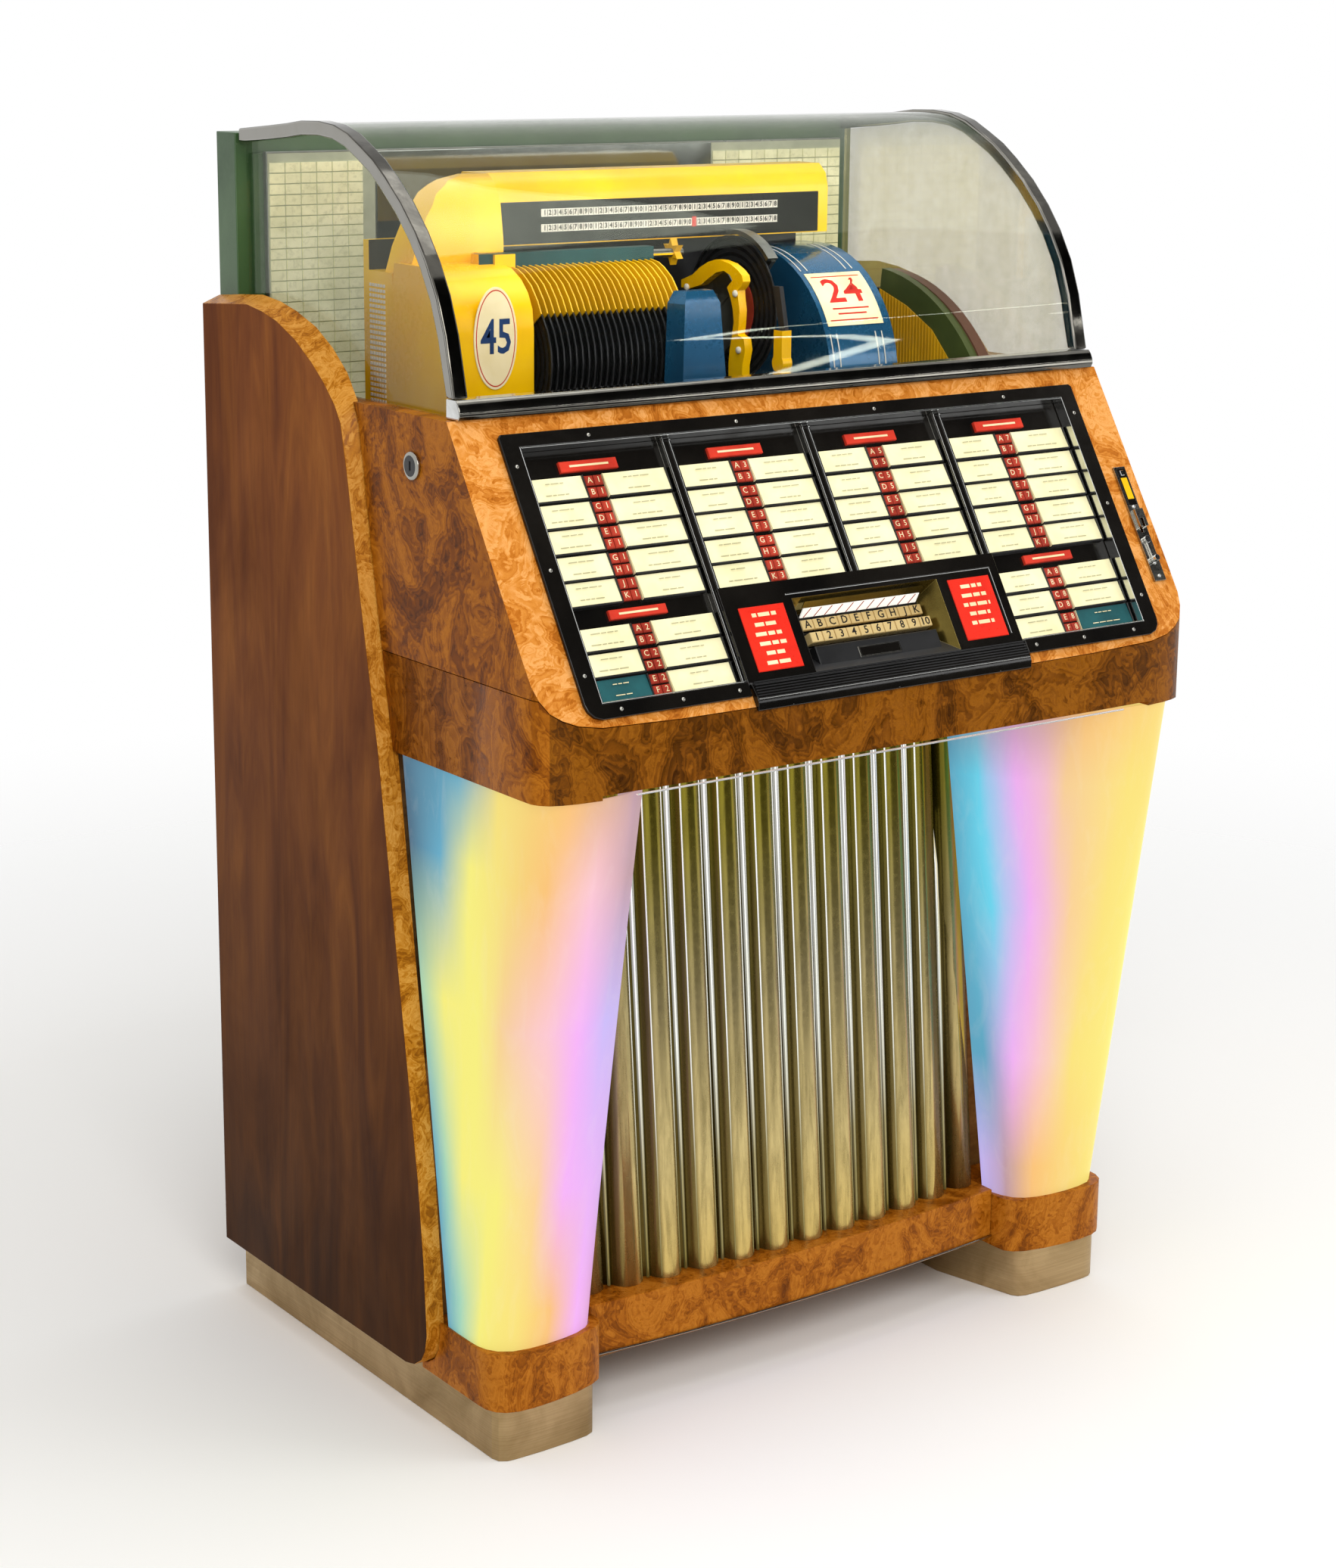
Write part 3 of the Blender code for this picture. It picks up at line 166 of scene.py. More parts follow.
class Finish:
    """A surface finish under construction."""

    def __init__(self, name, **fixed):
        self.made = bpy.data.materials.new(name)
        self.made.use_nodes = True
        self.tree = self.made.node_tree
        self.shader = self.tree.nodes["Principled BSDF"]
        self.coords = self.tree.nodes.new("ShaderNodeTexCoord").outputs["Object"]
        feed(self.tree, self.shader, (), fixed)

    def node(self, kind, *given, **named):
        return add_node(self.tree, "ShaderNode" + kind, *given, **named)

    def noise(self, stretch, detail=4.0, rough=0.55, twist=0.0, turn=(0, 0, 0)):
        if not isinstance(stretch, tuple):
            stretch = (stretch,) * 3
        placed = self.node("Mapping", self.coords, Rotation=turn, Scale=stretch).outputs[0]
        made = self.node("TexNoise", placed, Scale=1.0, Detail=detail, Roughness=rough, Distortion=twist)
        return made.outputs[0]

    def rings(self, size, twist, centre):
        """Rings about a line that runs across."""
        placed = self.node("Mapping", self.coords, Location=(0, -centre[0], -centre[1])).outputs[0]
        made = self.node("TexWave", placed, Scale=size, Distortion=twist, Detail=2.0, wave_type="RINGS",
                         rings_direction="X")
        return made.outputs["Fac"]

    def attribute(self, name):
        return self.node("Attribute", attribute_name=name).outputs["Fac"]

    def height(self, low, high):
        return self.span(self.node("SeparateXYZ", self.coords).outputs["Z"], low, high)

    def ramp(self, factor, stops):
        made = self.node("ValToRGB", factor)
        steps = made.color_ramp.elements
        while len(steps) < len(stops):
            steps.new(0.5)
        for step, (place, colour) in zip(steps, stops):
            step.position = place
            step.color = shade(colour) if isinstance(colour, str) else (colour, colour, colour, 1.0)
        return made.outputs["Color"]

    def mix(self, share, a, b, blend="MIX"):
        unused = (None,) * 5
        return self.node("Mix", share, *unused, a, b, data_type="RGBA", blend_type=blend).outputs[2]

    def stain(self, tone, mask, low, high, most, colour, blend="MIX"):
        """Lets a colour through as a mask passes from low to high."""
        return self.mix(self.span(mask, low, high, 0.0, most), tone, colour, blend)

    def work(self, kind, a, b=None):
        return self.node("Math", a, b, operation=kind).outputs[0]

    def add(self, a, b):
        return self.work("ADD", a, b)

    def times(self, a, b):
        return self.work("MULTIPLY", a, b)

    def span(self, value, low, high, to_low=0.0, to_high=1.0):
        return self.node("MapRange", value, low, high, to_low, to_high).outputs[0]

    def bump(self, height, strength, distance):
        return self.node("Bump", Strength=strength, Distance=distance, Height=height).outputs["Normal"]

    def done(self, colour, rough=None, normal=None, **more):
        more.update(Base_Color=colour, Roughness=rough, Normal=normal)
        feed(self.tree, self.shader, (), more)
        return self.made


def walnut():
    f = Finish("red walnut veneer", Specular_IOR_Level=0.05)
    grain = f.noise((17, 17, 2.6), 6, 0.6, 1.2, (0.0, 0.09, 0.06))
    fibres = f.noise((230, 230, 12), 4, 0.62)
    clouds = f.noise((5, 5, 3), 4, 0.6, 0.8)
    low = f.ramp(grain, [(0.25, "2c1403"), (0.45, "3f2106"), (0.6, "4d2a08"), (0.78, "5e340d")])
    high = f.ramp(grain, [(0.25, "6b340a"), (0.45, "834614"), (0.6, "93541a"), (0.78, "a66526")])
    # Darker towards the foot and lighter towards the top: painted shade.
    tone = f.mix(f.height(0.1, 1.2), low, high)
    tone = f.stain(tone, clouds, 0.4, 0.7, 0.4, "6a3a12", "MULTIPLY")
    tone = f.mix(0.4, tone, f.ramp(fibres, [(0.34, 0.72), (0.5, 1.0)]), "MULTIPLY")
    return f.done(tone, f.span(clouds, 0.3, 0.7, 0.34, 0.5), f.bump(fibres, 0.06, 0.0005))


def burl(name, dark, deep, warm, light, size=1.0):
    """Burl figure: slow flames with fine curling lines that follow them."""
    f = Finish(name, Specular_IOR_Level=0.08)
    flames = f.noise((6.5 * size, 6.5 * size, 5.0 * size), 2, 0.45, 3.0)
    curls = f.noise(24 * size, 5, 0.62, 3.0)
    follow = f.add(flames, f.times(curls, 0.16))
    lines = f.span(f.work("SINE", f.times(follow, 96)), -1.0, 1.0)
    fine = f.span(f.work("SINE", f.times(follow, 250)), -1.0, 1.0)
    fibres = f.noise(230, 3, 0.6, 2.0)
    mixed = f.add(f.times(flames, 0.55), f.times(curls, 0.45))
    mixed = f.add(mixed, f.span(lines, 0.0, 1.0, -0.04, 0.04))
    mixed = f.add(mixed, f.span(fine, 0.0, 1.0, -0.015, 0.015))
    tone = f.ramp(mixed, [(0.3, dark), (0.42, deep), (0.5, warm), (0.6, light), (0.7, warm), (0.84, deep)])
    tone = f.stain(tone, fibres, 0.35, 0.7, 0.25, deep)
    return f.done(tone, f.span(curls, 0.3, 0.7, 0.24, 0.4), f.bump(lines, 0.04, 0.0006))


def chrome(name="chrome plate", tone="d7d8d6", low=0.05, high=0.2):
    f = Finish(name, Metallic=1.0)
    haze = f.noise(26, 5, 0.6, 0.5)
    scuffs = f.noise((900, 90, 900), 3, 0.6)
    colour = f.stain(tone, haze, 0.45, 0.75, 0.45, "8d8a80")
    rough = f.span(f.add(haze, f.times(scuffs, 0.4)), 0.5, 1.0, low, high)
    return f.done(colour, rough, f.bump(scuffs, 0.03, 0.0002))


def brushed(name, tone, grime, stretch=(4, 4, 700)):
    f = Finish(name, Metallic=1.0, Anisotropic=0.45)
    lines = f.noise(stretch, 4, 0.6)
    stains = f.noise(9, 5, 0.62, 0.8)
    colour = f.stain(tone, stains, 0.42, 0.72, 0.6, grime)
    colour = f.stain(colour, lines, 0.3, 0.7, 0.3, grime)
    return f.done(colour, f.span(f.add(lines, stains), 0.6, 1.4, 0.24, 0.5), f.bump(lines, 0.12, 0.0003))


def enamel(name, tone, deep, gloss=0.12, dull=0.34, metal=0.0, coat=0.0, wear="3b3a36"):
    f = Finish(name, Metallic=metal, Coat_Weight=coat, Coat_Roughness=0.07, Specular_IOR_Level=0.35)
    clouds = f.noise(7, 4, 0.55, 0.4)
    specks = f.noise(150, 4, 0.7)
    colour = f.stain(tone, clouds, 0.35, 0.7, 1.0, deep)
    colour = f.mix(f.times(f.ramp(specks, [(0.70, 0.0), (0.76, 1.0)]), 0.35), colour, wear)
    rough = f.span(f.add(clouds, f.times(specks, 0.5)), 0.5, 1.0, gloss, dull)
    return f.done(colour, rough, f.bump(specks, 0.04, 0.0004))


def board(name, tone, deep, grain=(3, 40, 40), dull=0.75):
    f = Finish(name, Specular_IOR_Level=0.2)
    fuzz = f.noise(160, 4, 0.6)
    colour = f.stain(tone, f.noise(grain, 5, 0.6, 0.8), 0.3, 0.7, 1.0, deep)
    colour = f.stain(colour, fuzz, 0.4, 0.75, 0.3, "2c241c")
    return f.done(colour, f.span(fuzz, 0.3, 0.7, dull - 0.15, dull + 0.1), f.bump(fuzz, 0.2, 0.0004))


def paper(name, tone, aged, dull=0.6):
    f = Finish(name, Specular_IOR_Level=0.2)
    fuzz = f.noise(500, 3, 0.6)
    colour = f.stain(tone, f.noise(22, 4, 0.6), 0.35, 0.7, 1.0, aged)
    return f.done(colour, f.span(fuzz, 0.3, 0.7, dull - 0.1, dull + 0.1), f.bump(fuzz, 0.08, 0.0002))


def thin_glass(name, tone, film, grime, mirror=1.0):
    """Sheet glass: it mirrors by the angle it is seen at and passes the rest."""
    f = Finish(name, Metallic=mirror, Roughness=0.02)
    angle = f.node("LayerWeight", Blend=0.5).outputs["Facing"]
    square_on = 0.04
    edge = f.add(f.times(f.work("POWER", angle, 5.0), 1 - square_on), square_on)
    dust = f.noise(38, 6, 0.7)
    wipes = f.noise((3, 30, 3), 4, 0.6, 1.0)
    haze = f.times(f.span(f.add(dust, wipes), 0.8, 1.4), grime)
    cover = f.add(f.add(edge, haze), film)
    return f.done(f.stain(tone, dust, 0.3, 0.8, 0.3, "c7cbb8"), Alpha=cover)


def vinyl(name, centre):
    """Black record plastic with grooves and tracks round its middle."""
    f = Finish(name, Specular_IOR_Level=0.4)
    grooves = f.rings(260, 0.0, centre)
    tracks = f.rings(34, 0.4, centre)
    colour = f.stain("0b0b0c", f.noise(60, 5, 0.65), 0.45, 0.75, 0.35, "2b2b2c")
    colour = f.mix(f.times(tracks, 0.14), colour, "474a4d")
    return f.done(colour, f.span(tracks, 0.0, 1.0, 0.2, 0.36), f.bump(grooves, 0.25, 0.0003))


# Column colours: one small palette, in bands whose order is nearly the same from foot to top; the greyed blue and
# mauve tones near the top and at some edges are painted shade
PALETTE = {
    "slate": "54748c", "sky": "66aecb", "cyan": "70dcf6", "aqua": "a8dcc0", "lemon": "fcf480", "straw": "fbe47e",
    "peach": "fcd49a", "apricot": "fcc67c", "rose": "fcc8d4", "orchid": "f6b4fa", "lavender": "ccbcfa",
    "dusk": "c6a2ac"}


def rainbow(name, rows):
    """Milky plastic lit from behind: at some heights the colours across it, mixed on the way up.

    Heights and places across are hundredths of the column.
    """
    f = Finish(name, Roughness=0.34, Specular_IOR_Level=0.08, Emission_Strength=0.74)
    veil = f.noise((5, 5, 2.4), 4, 0.55, 0.6)
    across = f.add(f.attribute("across"), f.span(veil, 0.3, 0.7, -0.012, 0.012))
    up = f.attribute("up")
    bands = []
    for height, row in rows.items():
        words = row.split()
        stops = [(int(place) / 100, PALETTE[tone]) for place, tone in zip(words[::2], words[1::2])]
        bands.append((height / 100, f.ramp(across, stops)))
    colour = bands[0][1]
    for (under, _), (height, band) in zip(bands, bands[1:]):
        colour = f.mix(f.span(up, under, height), colour, band)
    smears = f.noise((40, 40, 12), 5, 0.62, 1.2)
    colour = f.stain(colour, smears, 0.5, 0.8, 0.1, "fff6ea")
    lit = f.mix(0.76, colour, "000000")
    return f.done(lit, f.span(smears, 0.3, 0.7, 0.28, 0.4), f.bump(veil, 0.05, 0.001), Emission_Color=colour)


def tube_gold():
    """Tinted mirror plating on the grille tubes, brighter towards the foot, with painted shade in the valleys."""
    f = Finish("gold mirror tube", Metallic=0.78, Specular_IOR_Level=0.3)
    height = f.height(0.14, 0.80)
    streaks = f.noise((150, 150, 4), 5, 0.65, 0.4)
    spots = f.noise(120, 5, 0.7)
    tone = f.ramp(height, [(0.0, "d0b56a"), (0.2, "cdb97e"), (0.5, "ab9c6c"), (0.78, "978a34"), (1.0, "9a8e14")])
    tone = f.stain(tone, streaks, 0.4, 0.72, 0.5, "5c5226")
    tone = f.mix(f.ramp(spots, [(0.72, 0.0), (0.8, 0.5)]), tone, "3a3019")
    # Painted shade: the flanks darken towards the valleys between the tubes.
    edge = f.ramp(f.attribute("flank"), [(0.0, 0.0), (0.45, 0.05), (0.68, 0.75), (1.0, 0.97)])
    tone = f.mix(edge, tone, f.ramp(height, [(0.0, "4d3c0a"), (0.6, "4a400e"), (1.0, "6a6212")]))
    return f.done(tone, f.span(f.add(streaks, spots), 0.7, 1.3, 0.14, 0.32), f.bump(spots, 0.04, 0.0003))


def bright_rod():
    """Polished rod that glows as a painted highlight and dulls towards its foot."""
    f = Finish("polished rod with painted highlight", Metallic=1.0, Emission_Strength=0.4)
    haze = f.noise((60, 60, 9), 4, 0.6)
    tone = f.ramp(f.height(0.14, 0.80), [(0.0, "6a5f2e"), (0.18, "8d8460"), (0.42, "e4e6df"), (1.0, "ffffff")])
    tone = f.stain(tone, haze, 0.45, 0.8, 0.35, "b9b48e")
    return f.done(tone, f.span(haze, 0.3, 0.7, 0.08, 0.3), Emission_Color=tone)


# Mirror tiles that glow faintly: painted light.
def tile_mirror():
    f = Finish("mirror tile", Metallic=0.15, Emission_Strength=0.16)
    clouds = f.noise(14, 4, 0.6)
    tone = f.stain("f4f1c6", clouds, 0.35, 0.65, 1.0, "dcdaac")
    tone = f.stain(tone, f.noise(170, 4, 0.6), 0.5, 0.8, 0.5, "a8a97c")
    return f.done(tone, f.span(clouds, 0.3, 0.7, 0.08, 0.24), f.bump(clouds, 0.05, 0.002), Emission_Color=tone)


def glowing(name, tone, strength, glow):
    return Finish(name, Roughness=0.5, Emission_Strength=strength).done(tone, Emission_Color=(*glow, 1.0))


WALNUT = walnut()
BURL = burl("shaded burl veneer", "4a2202", "783e06", "9c580c", "b9701a")
BURL_SMALL = burl("small burl veneer", "5a2c04", "834607", "a15c10", "bb7420", 1.5)
# Burl for the apron's front, darkened as painted shade.
BURL_SHADED_FRONT = burl("burl veneer with painted shade", "321802", "583003", "784306", "95590e")
# Burl for the lid's slanted margin, lightened as painted light.
BURL_LIT_MARGIN = burl("burl veneer with painted light", "8c480c", "b86a1c", "d48936", "eaa860", 1.3)
BURL_GOLD = burl("golden burl edge", "6e3a06", "9c5c0c", "bd7a20", "d89a44", 1.7)
CHROME = chrome()
DULL_CHROME = chrome("worn chrome", "a5a39b", 0.1, 0.28)
DARK_CHROME = chrome("shaded chrome", "6a6862", 0.04, 0.14)
ARCH_SIDE = chrome("arch chrome", "96948e", 0.04, 0.12)
ARCH_TOP = chrome("shaded arch chrome", "4c4a45", 0.04, 0.12)
MIRROR = chrome("smoked mirror", "8c9089", 0.04, 0.1)
STEEL = brushed("brushed kick plate", "bda37a", "7a6238")
GREY_METAL = brushed("cast grey metal", "8f9189", "595b55", (90, 90, 90))
BLACK = enamel("gloss black", "0b0a09", "16130f", 0.08, 0.22, wear="2c2a26")
SATIN_BLACK = enamel("satin black", "151516", "222223", 0.3, 0.5, coat=0.1)
YELLOW = enamel("yellow enamel", "f5c600", "e4aa00", 0.14, 0.3, wear="9a7010")
YELLOW_DEEP = enamel("shaded yellow enamel", "dcae10", "b88a0c", 0.25, 0.45)
BLUE = enamel("blue metallic enamel", "1d5f86", "164a6d", 0.2, 0.36, 0.45, 0.6)
BLUE_DEEP = enamel("dark blue enamel", "0f2c42", "0a1c2b", 0.25, 0.4, 0.2)
TEAL = enamel("teal enamel", "1d4c4d", "12302f", 0.25, 0.4)
GREEN = enamel("green enamel", "3f5f35", "2c4827", 0.3, 0.5, coat=0.2)
OLIVE = enamel("olive green plate", "4d5a2a", "39441f", 0.3, 0.5, coat=0.2)
BROWN = enamel("brown rim", "6a4636", "4f3226", 0.35, 0.5, coat=0.1)
KEY_TAN = enamel("tan key plastic", "d2b87e", "b99c60", 0.24, 0.4, wear="6e5a36")
BRASS = enamel("brass sheet", "8c7a3c", "5e5024", 0.12, 0.3, 0.9)
PLY = board("plywood", "a5794a", "7d5731")
SPEAKER = board("speaker paper", "1b1a18", "100f0e", (60, 60, 60), 0.8)
CREAM = paper("cream title strip", "f6f0c6", "e9e3b2")
CREAM_LABEL = paper("cream label", "efe3bb", "e0cf9c", 0.45)
RED_CARD = paper("red card", "ee2a12", "d6200c", 0.35)
RED_BAR = paper("red header bar", "dc3a24", "b82c1a", 0.4)
RED_CELL = paper("red code cell", "b83c28", "8f2818", 0.4)
TEAL_CARD = paper("teal card", "1f5a5e", "17474b", 0.45)
INK = paper("dark ink", "241f1a", "161210")
FAINT_INK = paper("faint print", "bdb893", "a8a37e")
RED_INK = paper("red ink", "c3271d", "a81d15", 0.5)
BLUE_INK = paper("blue ink", "1f3f6e", "182f55", 0.5)
WHITE_INK = paper("white line", "d9d6ca", "c6c2b4", 0.5)
GROUT = paper("tile grout", "b9bda2", "9ea289", 0.7)
LABEL = paper("record label", "b8402c", "8f2f20", 0.45)
FILM = paper("turning colour film", "e8a8c8", "a8d0e8", 0.4)
GLASS = thin_glass("dome glass", "a9afa2", 0.002, 0.02)
SIDE_GLASS = thin_glass("milky side glass", "e2d68a", 0.27, 0.14, 0.25)
TILE = tile_mirror()
VINYL = vinyl("record vinyl", (0.046, 1.198))
VINYL_PLAY = vinyl("record in play", (0.070, 1.237))
TUBE_GOLD = tube_gold()
HIGHLIGHT_ROD = bright_rod()
LIT_WHITE = glowing("lit window", "f2f0ea", 0.45, (1.0, 0.98, 0.94))
LAMP = glowing("frosted lamp glass", "f4efe2", 0.8, (1.0, 0.93, 0.82))
RAINBOW_LEFT = rainbow("left column plastic", {
    8: "0 sky 14 aqua 30 lemon 50 straw 62 apricot 74 orchid 100 dusk",
    30: "0 sky 6 aqua 15 lemon 35 lemon 52 peach 62 orchid 100 lavender",
    60: "0 aqua 9 lemon 20 lemon 30 peach 50 rose 60 orchid 70 lavender",
    85: "0 slate 9 sky 17 lemon 26 straw 45 apricot 60 rose 72 dusk",
    100: "0 slate 14 sky 24 straw 50 apricot 70 dusk"})
RAINBOW_RIGHT = rainbow("right column plastic", {
    8: "0 straw 25 lemon 55 straw 78 apricot 92 dusk 100 lavender",
    30: "0 rose 20 straw 40 lemon 66 straw 80 rose 88 orchid 97 sky",
    60: "0 rose 20 straw 40 lemon 62 straw 74 peach 84 orchid 92 cyan 100 sky",
    85: "0 apricot 30 straw 60 straw 78 peach 86 orchid 93 cyan 100 sky",
    100: "0 apricot 40 straw 75 apricot 86 dusk 100 slate"})
PRINT = 0.12


def settle(mesh, name, body, finishes, angle=35, bevel=0.0, stands_for=()):
    """Names a mesh, gives it its finishes and soft edges, and lets it ride on its body."""
    mesh.name = name
    if len(mesh.materials):
        mesh.materials.clear()
    for finish in finishes:
        mesh.materials.append(finish)
    for face in mesh.polygons:
        face.use_smooth = True
    mesh.set_sharp_from_angle(angle=math.radians(angle))
    piece = put(name, mesh)
    if bevel:
        soft = piece.modifiers.new("soft edge", "BEVEL")
        soft.width = bevel / 1000
        soft.segments = 2
        soft.limit_method = "ANGLE"
        soft.angle_limit = math.radians(angle)
        piece.modifiers.new("flat faces", "WEIGHTED_NORMAL").keep_sharp = True
    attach(piece, body)
    if stands_for:
        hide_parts(*stands_for)


def body_of(node):
    return nodes[node]["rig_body"]


def dressed(node, finishes, rule=None, bevel=0.0, angle=35, mark=None):
    """A clean copy of a CAD node with its own finishes, chosen face by face."""
    shape = bmesh.new()
    shape.from_mesh(nodes[node].data)
    bmesh.ops.remove_doubles(shape, verts=shape.verts, dist=2e-6)
    bmesh.ops.dissolve_limit(shape, angle_limit=math.radians(0.5), verts=shape.verts, edges=shape.edges)
    for face in shape.faces:
        if rule:
            face.material_index = int(rule(face.calc_center_median(), face.normal))
    if mark:
        mark(shape)
    mesh = bpy.data.meshes.new(node + "_finished")
    shape.to_mesh(mesh)
    shape.free()
    settle(mesh, node + "_finished", body_of(node), finishes, angle, bevel, (node,))


class Build:
    """Solid pieces put together in one mesh, in a place of their own."""

    def __init__(self, place=at):
        self.shape = bmesh.new()
        self.place = place

    def points(self, spots):
        return [self.shape.verts.new(self.place(*spot)) for spot in spots]

    def face(self, corners, finish):
        self.shape.faces.new(corners).material_index = finish

    def loft(self, loops, finish=0):
        rows = [self.points(loop) for loop in loops]
        count = len(rows[0])
        for low, high in zip(rows, rows[1:]):
            for i in range(count):
                j = (i + 1) % count
                self.face((low[i], low[j], high[j], high[i]), finish)
        self.face(rows[0][::-1], finish)
        self.face(rows[-1], finish)

    def slab(self, outline, low, high, finish=0, ease=0.0):
        """Block on an outline; ease draws in its top edge."""
        middle = [sum(p[k] for p in outline) / len(outline) for k in (0, 1)]
        levels = [(low, 0.0), (high, ease)]
        if ease:
            levels.insert(1, (high - math.copysign(ease, high - low), 0.0))
        loops = []
        for w, pull in levels:
            drawn_in = [[c + math.copysign(min(pull, abs(m - c)), m - c) for c, m in zip(p, middle)]
                        for p in outline]
            loops.append([(u, v, w) for u, v in drawn_in])
        self.loft(loops, finish)

    def block(self, u0, u1, v0, v1, w0, w1, finish=0, ease=0.0):
        self.slab([(u0, v0), (u1, v0), (u1, v1), (u0, v1)], w0, w1, finish, ease)

    def round(self, stations, steps, finish=0):
        """Round bar along the third axis, from its stations (u, v, w, radius)."""
        self.loft([[(*spot, w) for spot in circle(u, v, radius, steps)] for u, v, w, radius in stations], finish)

    def bent(self, u0, u1, v0, v1, w0, w1, finish=0, steps=8):
        """Block in steps along the second axis, to follow a place that bends."""
        stops = [v0 + (v1 - v0) * i / steps for i in range(steps + 1)]
        self.loft([[(u0, v, w0), (u1, v, w0), (u1, v, w1), (u0, v, w1)] for v in stops], finish)

    def pipe(self, line, radius, steps=8):
        """Round bar along a line of points."""
        rows = []
        spots = [Vector(p) for p in line]
        side = None
        for i, spot in enumerate(spots):
            along = (spots[min(i + 1, len(spots) - 1)] - spots[max(i - 1, 0)]).normalized()
            if side is None:
                side = along.orthogonal().normalized()
            side = (side - along * side.dot(along)).normalized()
            other = along.cross(side)
            rows.append([tuple(spot + side * u + other * v) for u, v in circle(0, 0, radius, steps)])
        self.loft(rows)

    def words(self, text, size, spot, rise, finish=0, wide=None, thick=PRINT, bold=0.0):
        """Raised lettering: its middle at a spot, its own up along minus the second station."""
        curve = bpy.data.curves.new("lettering", "FONT")
        curve.body = text
        curve.size = size
        curve.align_x = "CENTER"
        curve.align_y = "CENTER"
        curve.offset = bold
        curve.resolution_u = 2
        curve.extrude = thick / 2
        mesh = plain_mesh(put("lettering", curve))
        across = [v.co.x for v in mesh.vertices]
        middle = (max(across) + min(across)) / 2
        squeeze = wide / (max(across) - min(across)) if wide else 1.0
        corners = self.points([(spot[0] + (v.co.x - middle) * squeeze, spot[1] - v.co.y, rise + v.co.z)
                               for v in mesh.vertices])
        for polygon in mesh.polygons:
            self.face([corners[k] for k in polygon.vertices], finish)
        bpy.data.curves.remove(curve)
        bpy.data.meshes.remove(mesh)

    def done(self, name, body, finishes, angle=30, stands_for=(), slot=None):
        bmesh.ops.remove_doubles(self.shape, verts=self.shape.verts, dist=1e-7)
        bmesh.ops.recalc_face_normals(self.shape, faces=self.shape.faces)
        mesh = bpy.data.meshes.new(name)
        self.shape.to_mesh(mesh)
        self.shape.free()
        settle(mesh, name, body, finishes, angle, 0.0, stands_for)


def trim(name, body, finishes, place, blocks, angle=30):
    """One piece made of blocks."""
    build = Build(place)
    for block in blocks:
        build.block(*block)
    build.done(name, body, finishes, angle)


class Grown:
    """A node tree that lays one shape out many times, with named sizes."""

    def __init__(self, name, sizes):
        self.tree = bpy.data.node_groups.new(name, "GeometryNodeTree")
        face = self.tree.interface
        self.keys = {}
        face.new_socket("Geometry", in_out="INPUT", socket_type="NodeSocketGeometry")
        for label, (kind, value) in sizes.items():
            socket = face.new_socket(label, in_out="INPUT", socket_type="NodeSocket" + kind)
            if value is not None:
                socket.default_value = value
            self.keys[label] = socket.identifier
        face.new_socket("Geometry", in_out="OUTPUT", socket_type="NodeSocketGeometry")
        self.given = self.tree.nodes.new("NodeGroupInput").outputs
        self.end = self.tree.nodes.new("NodeGroupOutput")

    def node(self, kind, *given, **named):
        """The first output of a new node."""
        if not kind.startswith(("Shader", "Function")):
            kind = "GeometryNode" + kind
        return add_node(self.tree, kind, *given, **named).outputs[0]

    def finish(self, geometry):
        whole = self.node("RealizeInstances", Geometry=geometry)
        painted = self.node("SetMaterial", Geometry=whole, Material=self.given["Finish"])
        self.tree.links.new(painted, self.end.inputs[0])
        return self

    def run(self, name, body, finish, values, place, seeds=((0, 0, 0),), angle=35, slot=None):
        """The tree's result as a plain mesh; place moves it from millimetres to where it belongs."""
        start = bpy.data.meshes.new(name + "_start")
        start.from_pydata(seeds, [], [])
        holder = put(name + "_start", start)
        growing = holder.modifiers.new("layout", "NODES")
        growing.node_group = self.tree
        for label, value in values.items():
            growing[self.keys[label]] = value
        growing[self.keys["Finish"]] = finish
        mesh = plain_mesh(holder)
        for v in mesh.vertices:
            v.co = place(*v.co)
        shape = bmesh.new()
        shape.from_mesh(mesh)
        bmesh.ops.recalc_face_normals(shape, faces=shape.faces)
        for face in shape.faces:
            face.material_index = 0
        shape.to_mesh(mesh)
        shape.free()
        settle(mesh, name, body, [finish], angle)


def rows_tree():
    """Blocks in rows: count and step two ways, in millimetres."""
    grown = Grown("blocks in rows", {
        "Across": ("Int", 10), "Step across": ("Vector", (10, 0, 0)), "Rows": ("Int", 1),
        "Step of rows": ("Vector", (0, 10, 0)), "Start": ("Vector", (0, 0, 0)), "Size": ("Vector", (1, 1, 1)),
        "Tilt": ("Float", 0.0), "Seed": ("Int", 1), "Finish": ("Material", None)})
    given = grown.given
    tilt = given["Tilt"]
    first = grown.node("MeshLine", mode="OFFSET", Count=given["Across"], Start_Location=given["Start"],
                       Offset=given["Step across"])
    down = grown.node("MeshLine", mode="OFFSET", Count=given["Rows"], Offset=given["Step of rows"])
    spots = grown.node("RealizeInstances", grown.node("InstanceOnPoints", Points=down, Instance=first))
    brick = grown.node("MeshCube", Size=given["Size"])
    less = grown.node("ShaderNodeMath", tilt, -1.0, operation="MULTIPLY")
    low = grown.node("ShaderNodeCombineXYZ", less, less, less)
    high = grown.node("ShaderNodeCombineXYZ", tilt, tilt, tilt)
    lean = grown.node("FunctionNodeRandomValue", low, high, data_type="FLOAT_VECTOR", Seed=given["Seed"])
    return grown.finish(grown.node("InstanceOnPoints", Points=spots, Instance=brick, Rotation=lean))


